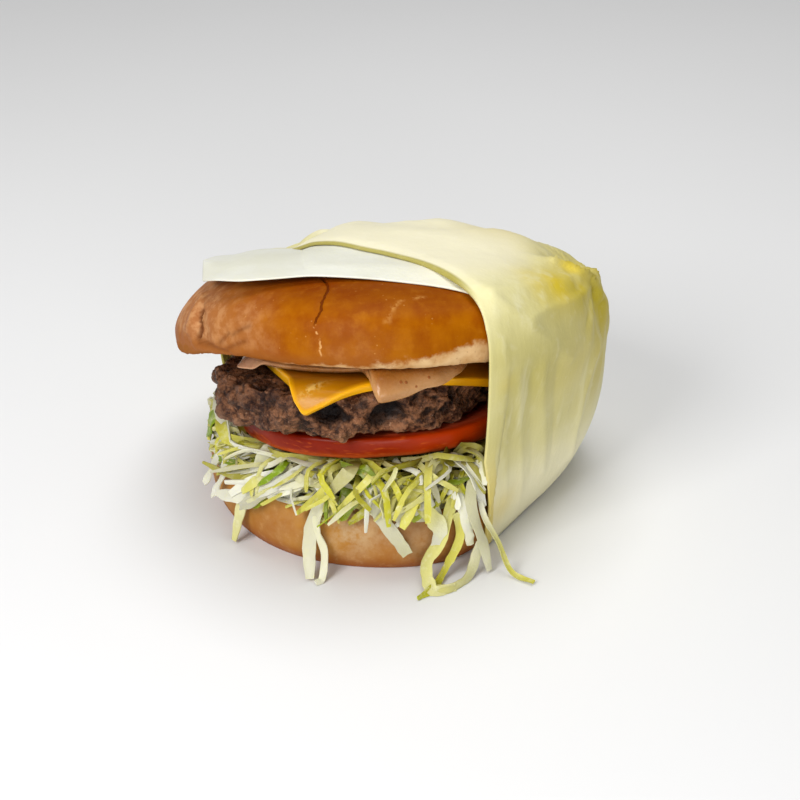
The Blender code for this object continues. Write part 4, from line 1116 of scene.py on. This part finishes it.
def make_lettuce():
    """The heap: its packed inside, about four hundred seeded strips, and the long ones listed one by one."""
    rings, low, high = make_core()
    rings = pressed(rings, 1.1 * fractal(rings, 4, 121, 3))
    points, faces, _ = closed_skin(rings, low, high, {})
    tint = 0.35 + 0.35 * noise(points / 5, 123)
    # The packed inside is painted almost wholly dark, as shade
    deep_shade = np.full(len(points), 0.92)
    draw = np.random.default_rng(7)
    batches = [long_strips()]
    batches += [loose_strips(draw, 150, "lying", *MOUTH), loose_strips(draw, 210, "hanging", *MOUTH)]
    rear = np.random.default_rng(11)
    batches += [loose_strips(rear, 20, "lying", *REAR), loose_strips(rear, 30, "hanging", *REAR)]
    for strip_points, strip_faces, strip_tint in batches:
        faces = faces + (strip_faces + len(points)).tolist()
        sides = strip_points.shape[2]
        inside = HEEL_RADIUS - 3 - np.hypot(strip_points[..., 0], strip_points[..., 1] - HEEL_Y)
        points = np.concatenate([points, strip_points.reshape(-1, 3)])
        tint = np.concatenate([tint, np.repeat(strip_tint[..., None], sides, -1).ravel()])
        # Painted shade: each strip is darkened by a random share, and more the further it lies inside the
        # lower bun's edge
        shade = draw.uniform(0, 0.68, (len(strip_points), 1, 1)) ** 2
        deep_shade = np.concatenate([deep_shade, (shade + 0.70 * smooth_step((inside + 3.2) / 6)).ravel()])
    points[:, 2] = np.maximum(points[:, 2], 0.1)
    marks = {"tint": np.clip(tint, 0, 1), "deep_shade": deep_shade}
    heap = make_piece("lettuce_heap", points, faces, lettuce_finish(), "lettuce", marks)
    heap.data.set_sharp_from_angle(angle=math.radians(50))


# ---- paper ----

def paper_finish(name, white):
    paint = Paint(name, Specular_IOR_Level=0.35, **see_into(2, 2, 1))
    wide, fine = paint.grain(22, 3), paint.grain(3.5, 4, 0.6)
    hanging = paint.grain(5, 3, place=paint.stretched(1, 1, 0.14))
    side = 1 - paint.mark("top")
    if white:
        shades = (228, 228, 214), (220, 219, 200)
        layers = [(paint.mark("warm") * 0.7, (236, 228, 196))]
    else:
        streak = hanging.between(0.50, 0.68) * side * (1 - 0.6 * paint.mark("olive"))
        shades = (224, 217, 166), (216, 208, 150)
        layers = [
            # Pale is partly painted light on the lit top; grey and olive are partly the paper's tint and
            # grease and partly painted shade on the side
            (paint.mark("pale"), (242, 235, 202)),
            (paint.mark("grey"), (180, 168, 80)),
            (paint.mark("olive"), (186, 166, 20)),
            # Strong yellow is grease in the folds and painted shade in them; the edge is the lip's own yellow
            # with a painted shadow line under it
            (paint.mark("yellow"), (214, 186, 4)),
            (streak * 0.45, (226, 220, 176)),
            (paint.mark("edge") * 0.85, (150, 138, 10)),
        ]
    layers.append((fine.between(0.55, 0.8) * 0.12, (250, 248, 236)))
    colour = paint.over(paint.blotch(wide, *shades), *layers)
    relief = 0.35 * wide + 0.12 * fine + 0.012 * paint.grain(0.9, 2) + 0.30 * hanging * side
    return paint.coat(colour, 0.42 + 0.15 * fine, relief)


def add_thickness(piece, thickness):
    """Turns a sheet into a thin solid, outwards from its own surface, in millimetres."""
    solid = piece.modifiers.new("thickness", "SOLIDIFY")
    solid.thickness = thickness * MM
    solid.offset = 1.0


def wrap_sag(x):
    """How much lower the yellow paper's lip lies at the left, where it hides behind the white leaf."""
    return 2.2 * smooth_step((-x - 19) / 9)


def wrap_arch(x, y, turn):
    """The yellow paper's height over a place in the upper bun's frame, by its angle up the shoulder.
    It rises like a power of a sine, and puffs up at the right."""
    puff = 4.6 * smooth_step((x + 24) / 16) * smooth_step((turn - 0.5) / 0.9) * smooth_step((y + 30) / 40)
    return 1.0 + (WRAP_TOP - 1.0) * np.sin(turn) ** WRAP_POWER + puff


def wrap_height(x, y):
    """The yellow paper's height in the upper bun's frame, where it lies over the white leaf."""
    reach = np.hypot(x, y) / (crown_outline(np.arctan2(y, x)) + WRAP_ROOM)
    turn = np.arccos(np.clip(reach, 0, 0.995) ** (1 / WRAP_POWER))
    return wrap_arch(x, y, turn) - wrap_sag(x)


def make_flap():
    """The white leaf by its share across and its share to the back: it hugs the dome at the right
    and stands off it, stiff and nearly level, at the left. Its free edge waves a little."""
    across = np.linspace(1, 0, 190)[None, :]
    back = np.linspace(0, 1, 74)[:, None]
    x = -48.0 + 74.0 * across + 0 * back
    front = -38.8 - 0.135 * (x + 27.4) + 14.5 * np.maximum((-x - 36) / 13, 0) ** 2
    y = front + (12.0 - front) * back
    x = x - 3.4 * back * (1 - across)
    hugging = crown_dome(x, y) + GAP + 0.3
    stiff = FLAP_HEIGHT * (1 - (np.hypot(x, y) / FLAP_RADIUS) ** 3) ** (1 / 3)
    free = smooth_step((8 - x) / 30)
    height = hugging + (stiff - hugging) * free
    under = smooth_step((x + 30) / 8) * smooth_step((y - front) / 9)
    ceiling = wrap_height(x, y) - 0.75
    height += np.maximum(ceiling - height, 0) * under
    height += 3.4 * smooth_step((-x - 41) / 11) * smooth_step((y - front) / 20)
    height += 1.0 * bell(x + 43, 7) * bell(y - front, 7)
    lip = np.interp(x, LEAF_COVER[0], LEAF_COVER[1])
    covered = smooth_step((y - lip + 1) / 2.5)
    height -= np.maximum(height - ceiling, 0) * covered
    flat = np.stack([x, y, 0 * x], -1)
    height += free * 0.12 * fractal(flat * (1, 0.5, 1), 16, 131, 3)
    grid = crown_point(x, y, height)
    warm = smooth_step((x + 5) / 30)
    faces = grid_faces(*grid.shape[:2], False).tolist()
    piece = make_piece("white_leaf", grid.reshape(-1, 3), faces, paper_finish("white_paper", True),
                       "paper_flap", {"warm": warm, "top": 1 + 0 * warm})
    add_thickness(piece, 0.35)


def pocket_place(azimuth, rise):
    """A point of the paper. Azimuth goes round the burger. Rise goes from 0 at the table, up the
    bulging wall to the upper bun's widest line, and over the shoulder to 1 on top."""
    cos, sin = np.cos(azimuth), np.sin(azimuth)
    floor = flattened(azimuth, POCKET_FLOOR, POCKET_FLAT)
    outline = crown_outline(azimuth) + WRAP_ROOM
    share = np.clip(rise / WRAP_WALL, 0, 1)
    foot = np.stack([floor * cos, HEEL_Y + floor * sin, 0.4 + 0 * cos], -1)
    head = crown_point(outline * cos, outline * sin, 1.0)
    mouth = (np.degrees(azimuth) + 58) % 360
    fullness = smooth_step(mouth / 50) * (1 - 0.6 * smooth_step((mouth - 85) / 60))
    bulge = 4.2 * fullness * np.sin(math.pi * share**0.75)
    wall = foot + (head - foot) * share[..., None] + np.stack([bulge * cos, bulge * sin, 0 * cos], -1)
    turn = np.clip((rise - WRAP_WALL) / (1 - WRAP_WALL), 0, 1) * math.pi / 2
    reach = outline * np.maximum(np.cos(turn), 0) ** WRAP_POWER
    x, y = reach * cos, reach * sin
    height = wrap_arch(x, y, turn) - wrap_sag(x) * smooth_step((turn - 0.3) / 0.5)
    return np.where((rise < WRAP_WALL)[..., None], wall, crown_point(x, y, height))


def pocket_point(along, roll):
    """A point of the paper by its angle from the closed end and its roll round the pocket."""
    ax, ay = math.cos(POCKET_AXIS), math.sin(POCKET_AXIS)
    a, b, up = np.cos(along), np.sin(along) * np.cos(roll), np.sin(along) * np.sin(roll)
    x, y = a * ax + b * ay, a * ay - b * ax
    return pocket_place(np.arctan2(y, x), np.arcsin(np.clip(up, 0, 1)) / (math.pi / 2))


# Folds of the yellow paper: how far each stands out, its width, and its line
CREASES = (
    (0.9, 2.2, ((25.3, -40.8, 75.3), (30.1, -41.4, 72.2), (35.8, -40.2, 66.8), (41.4, -36.3, 60.7),
                (46.3, -30.7, 53.6))),
    (0.8, 2.0, ((35.3, -39.1, 69.4), (39.4, -34.3, 69.4), (43.6, -29.7, 67.9), (48.1, -22.8, 66.5),
                (52.4, -14.0, 65.0), (54.8, -6.3, 63.2))),
    (2.0, 1.4, ((52.8, -9.5, 65.1), (48.9, -12.0, 68.4), (45.4, -12.0, 70.2), (42.7, -12.4, 71.5))),
    (-1.8, 1.6, ((51.5, -3.0, 66.5), (47.0, -5.5, 70.5), (42.0, -6.0, 72.5))),
    (1.8, 1.6, ((53.8, -4.8, 64.3), (51.2, 3.0, 66.7), (47.0, 9.0, 69.0))),
    (-1.5, 1.6, ((53.7, -11.5, 64.0), (55.3, -14.4, 58.9), (56.9, -13.6, 51.0))),
    (0.9, 2.0, ((56.5, -14.6, 51.5), (54.0, -19.0, 46.3), (51.6, -20.9, 36.6), (50.2, -19.5, 24.8),
                (49.3, -16.1, 14.7))),
    (0.45, 1.3, ((28.2, -46.8, 65.8), (29.2, -45.2, 43.2), (30.7, -37.3, 13.6))),
    (0.5, 1.8, ((32.1, -44.6, 57.5), (33.5, -40.2, 37.2), (35.3, -30.6, 9.2))),
    (-0.4, 1.8, ((36.1, -41.6, 55.5), (37.0, -37.4, 37.2), (38.3, -29.0, 12.2))),
    (0.6, 1.8, ((38.6, -39.2, 55.9), (40.0, -35.1, 40.2), (41.5, -26.6, 16.3))),
    (-0.5, 1.6, ((42.6, -35.0, 58.0), (43.3, -32.1, 41.5), (43.9, -25.7, 20.6))),
)
# The fold along the paper's shoulder, and the place where it is gathered at the right
RIDGE = ((21.3, -40.6, 77.1), (25.1, -38.8, 76.2), (29.5, -36.3, 75.3), (37.9, -28.5, 73.0),
         (44.4, -21.4, 70.4), (51.7, -9.1, 66.1), (55.2, -2.2, 62.4))
KNOT = (51.0, -9.0, 67.0)


def make_pocket():
    """The folded paper by its angle from the closed end and its roll round the pocket. The mouth is
    turned under in a narrow hem. Sharp folds are raised along lines, and fine tension folds fan out
    from the corner where the paper is gathered."""
    roll = np.radians(np.linspace(0, 180, 190))[:, None]
    rolls, reaches = zip(*POCKET_MOUTH)
    mouth = np.radians(np.interp(np.degrees(roll), rolls, reaches))
    stations = 190
    share = np.linspace(0, 1, stations)[None, :]
    grid = pocket_point(mouth * share, roll + 0 * share)
    normal = -facing(grid, wrap=False)
    x, y, z = grid[..., 0], grid[..., 1], grid[..., 2]
    ridge = near_line(grid, RIDGE)
    knot = grid - np.array(KNOT)
    far = np.linalg.norm(knot, axis=-1)
    bearing = np.arctan2(knot[..., 2], knot[..., 0] + 0.6 * knot[..., 1])
    fan = np.maximum(np.sin(5.0 * bearing + 0.8 * noise(grid / 18, 3)), 0) ** 2
    push = 1.1 * np.exp(-ridge / 3.0) * smooth_step((x - 18) / 8)
    behind = smooth_step((y + 6) / 18)
    push += (0.55 + 0.7 * behind) * (ridged(grid, 30, 141, 2) - 0.6) + 0.25 * (ridged(grid, 11, 143, 2) - 0.6)
    bearing, up = np.degrees(np.arctan2(y - HEEL_Y, x)) % 360, z / 62
    fade = smooth_step((0.96 - up) / 0.1) * smooth_step((1 - share) / 0.07) * behind
    for start, sweep, sign in ((8, 62, 1), (172, -64, -1)):
        past = (bearing - start - sweep * up) * sign * 0.9
        push += 1.7 * smooth_step(past / 1.6) * np.exp(-np.maximum(past, 0) / 26) * fade
    push += sum(1.35 * size * np.exp(-near_line(grid, line) / width) for size, width, line in CREASES)
    near, after = cells(grid / (13, 13, 9), 151)
    push += (3.0 * bell(far, 15) + 0.9 * smooth_step((y - 4) / 16)) * (after - near - 0.35)
    near, after = cells(grid / (26, 26, 20), 161)
    push += 2.2 * behind * (after - near - 0.3)
    push += 1.1 * fan * smooth_step((far - 3) / 8) * np.exp(-far / 22)
    round_mouth = np.degrees(roll)
    lift = smooth_step((round_mouth - 50) / 18) * smooth_step((104 - round_mouth) / 14)
    push += 0.25 * lift * smooth_step((share - 0.94) / 0.06)
    push *= (0.1 + 0.9 * smooth_step((1 - share) / 0.02)) * smooth_step(share / 0.05) * smooth_step(z / 4)
    # No dent goes deeper than 1 mm, which keeps the paper clear of the upper bun
    push = np.where(push < -0.5, -0.5 - 0.5 * (1 - np.exp(np.minimum(2 * push + 1, 0))), push)
    grid = grid + normal * push[..., None]
    hem_size = 0.15 + 0.30 * bell(round_mouth - 68, 11)
    turn = np.linspace(0, np.pi, 8)[None, 1:]
    back = grid[:, -6:-5] - grid[:, -1:]
    back /= np.maximum(np.linalg.norm(back, axis=-1, keepdims=True), 1e-6)
    hem = grid[:, -1:] - normal[:, -1:] * (hem_size * (1 - np.cos(turn)))[..., None]
    hem = hem - back * (hem_size * np.sin(turn))[..., None]
    tuck = hem[:, -1:] + back * np.linspace(0.4, 2.4, 5)[None, :, None]
    grid = np.concatenate([grid, hem, tuck], 1)
    marks = pocket_marks(grid)
    column = np.arange(grid.shape[1])[None, :] + 0 * roll
    shows = smooth_step((round_mouth - 52) / 15)
    # The lip: its own saturated yellow, and a painted shadow line where it stands off the white leaf
    marks["edge"] = (column > stations - 2) * shows
    low_lip = 0.7 * (column > stations - 6) * (1 - shows) * smooth_step((42 - grid[..., 2]) / 26)
    marks["yellow"] = np.maximum(marks["yellow"], low_lip)
    grid[..., 2] = np.maximum(grid[..., 2], 0.25)
    faces = grid_faces(*grid.shape[:2], False)[:, ::-1].tolist()
    piece = make_piece("yellow_wrap", grid.reshape(-1, 3), faces, paper_finish("yellow_paper", False),
                       "paper_pocket", marks)
    add_thickness(piece, 0.3)


def pocket_marks(grid):
    """Where the paper is pale, grey, olive or a strong yellow: partly its own tint and grease, partly
    painted light on its lit top and painted shade on its side and in its folds.
    """
    top = smooth_step((above_cut(grid) - 18) / 6) * smooth_step((44 - grid[..., 0]) / 14)
    return {
        "top": top,
        "pale": np.maximum(top * 0.9, 0.65 * smooth_step((34 - grid[..., 2]) / 22)),
        "grey": spots(grid, ((34, -38, 56, 16, 0.85), (30, -42, 40, 13, 0.6), (43, -28, 36, 12, 0.35),
                             (28, -46, 62, 7, 0.7), (29, -44, 45, 7, 0.7), (30, -41, 30, 7, 0.4))),
        "olive": spots(grid, ((48, -20, 66, 9, 0.95), (40, -30, 68, 6, 0.5), (54, -10, 58, 19, 1.0),
                              (56, 6, 50, 20, 0.9), (55, -12, 42, 13, 0.75), (46, -24, 52, 12, 0.6))),
        "yellow": spots(grid, ((47, -12, 69.5, 4.5, 0.9), (41.8, -25.0, 70.5, 5.5, 1.0),
                               (37, -28, 71.5, 5.5, 0.7), (46, -18, 70, 6, 0.45), (30, 10, 74, 12, 0.3),
                               (28.5, -45.8, 55, 2.5, 0.3), (30, -38, 12, 6, 0.4))),
    }


# ---- floor, light and camera ----

def make_floor():
    """A plain pale floor, far wider than the view."""
    corners = np.array(((-1, -1, 0), (1, -1, 0), (1, 1, 0), (-1, 1, 0))) * 3000.0 - (0, 0, 0.05)
    mesh = bpy.data.meshes.new("floor")
    mesh.from_pydata((corners * MM).tolist(), [], [(0, 1, 2, 3)])
    paint = Paint("floor", Specular_IOR_Level=0.2)
    shade = paint.mix(paint.grain(400, 1).between(0.3, 0.7), (0.76, 0.76, 0.76, 1), (0.78, 0.78, 0.78, 1))
    mesh.materials.append(paint.coat(shade, paint.grain(50, 1) * 0.1 + 0.5, paint.grain(90, 1) * 0.0))
    floor = bpy.data.objects.new("floor", mesh)
    bpy.context.scene.collection.objects.link(floor)


def add_light(name, place, target, size, power):
    """A soft square lamp at a place in millimetres, turned to a target."""
    lamp = bpy.data.lights.new(name, "AREA")
    lamp.size, lamp.energy = size * MM, power
    holder = bpy.data.objects.new(name, lamp)
    bpy.context.scene.collection.objects.link(holder)
    aim(holder, place, target)


def aim(thing, place, target):
    """Sets a thing at a place, looking down its own -Z to the target."""
    place, target = np.array(place, float), np.array(target, float)
    ahead = (target - place) / np.linalg.norm(target - place)
    right = np.cross(ahead, (0, 0, 1))
    right /= np.linalg.norm(right)
    up = np.cross(right, ahead)
    matrix = np.eye(4)
    matrix[:3, 0], matrix[:3, 1], matrix[:3, 2], matrix[:3, 3] = right, up, -ahead, place * MM
    thing.matrix_world = Matrix(matrix.tolist())


# Each lamp's name, place, size and power, with places and sizes in millimetres
LIGHTS = (("key", (-380, -500, 500), 340, 4.0), ("overhead", (60, 120, 800), 480, 3.7),
          ("front", (90, -720, 170), 300, 1.5))
CAMERA_PLACE, CAMERA_TILT = np.array((2.65, -441.0, 277.6)), math.radians(30)


def set_stage():
    make_floor()
    world = bpy.data.worlds.new("studio")
    bpy.context.scene.world = world
    world.use_nodes = True
    backdrop = world.node_tree.nodes["Background"]
    backdrop.inputs["Color"].default_value = (1, 1, 1, 1)
    backdrop.inputs["Strength"].default_value = 0.27
    for name, place, size, power in LIGHTS:
        add_light(name, place, (0, 0, 40), size, power)
    lens = bpy.data.cameras.new("camera")
    lens.lens, lens.sensor_width = 81, 36
    lens.clip_start, lens.clip_end = 0.01, 20
    camera = bpy.data.objects.new("camera", lens)
    bpy.context.scene.collection.objects.link(camera)
    aim(camera, CAMERA_PLACE, CAMERA_PLACE + (0, math.cos(CAMERA_TILT), -math.sin(CAMERA_TILT)))
    bpy.context.scene.camera = camera
    bpy.context.scene.view_settings.view_transform = "Standard"


for make in (make_heel, make_lettuce, make_tomato, make_patty, make_cheese, make_sauce, make_crown,
             make_flap, make_pocket, set_stage):
    make()
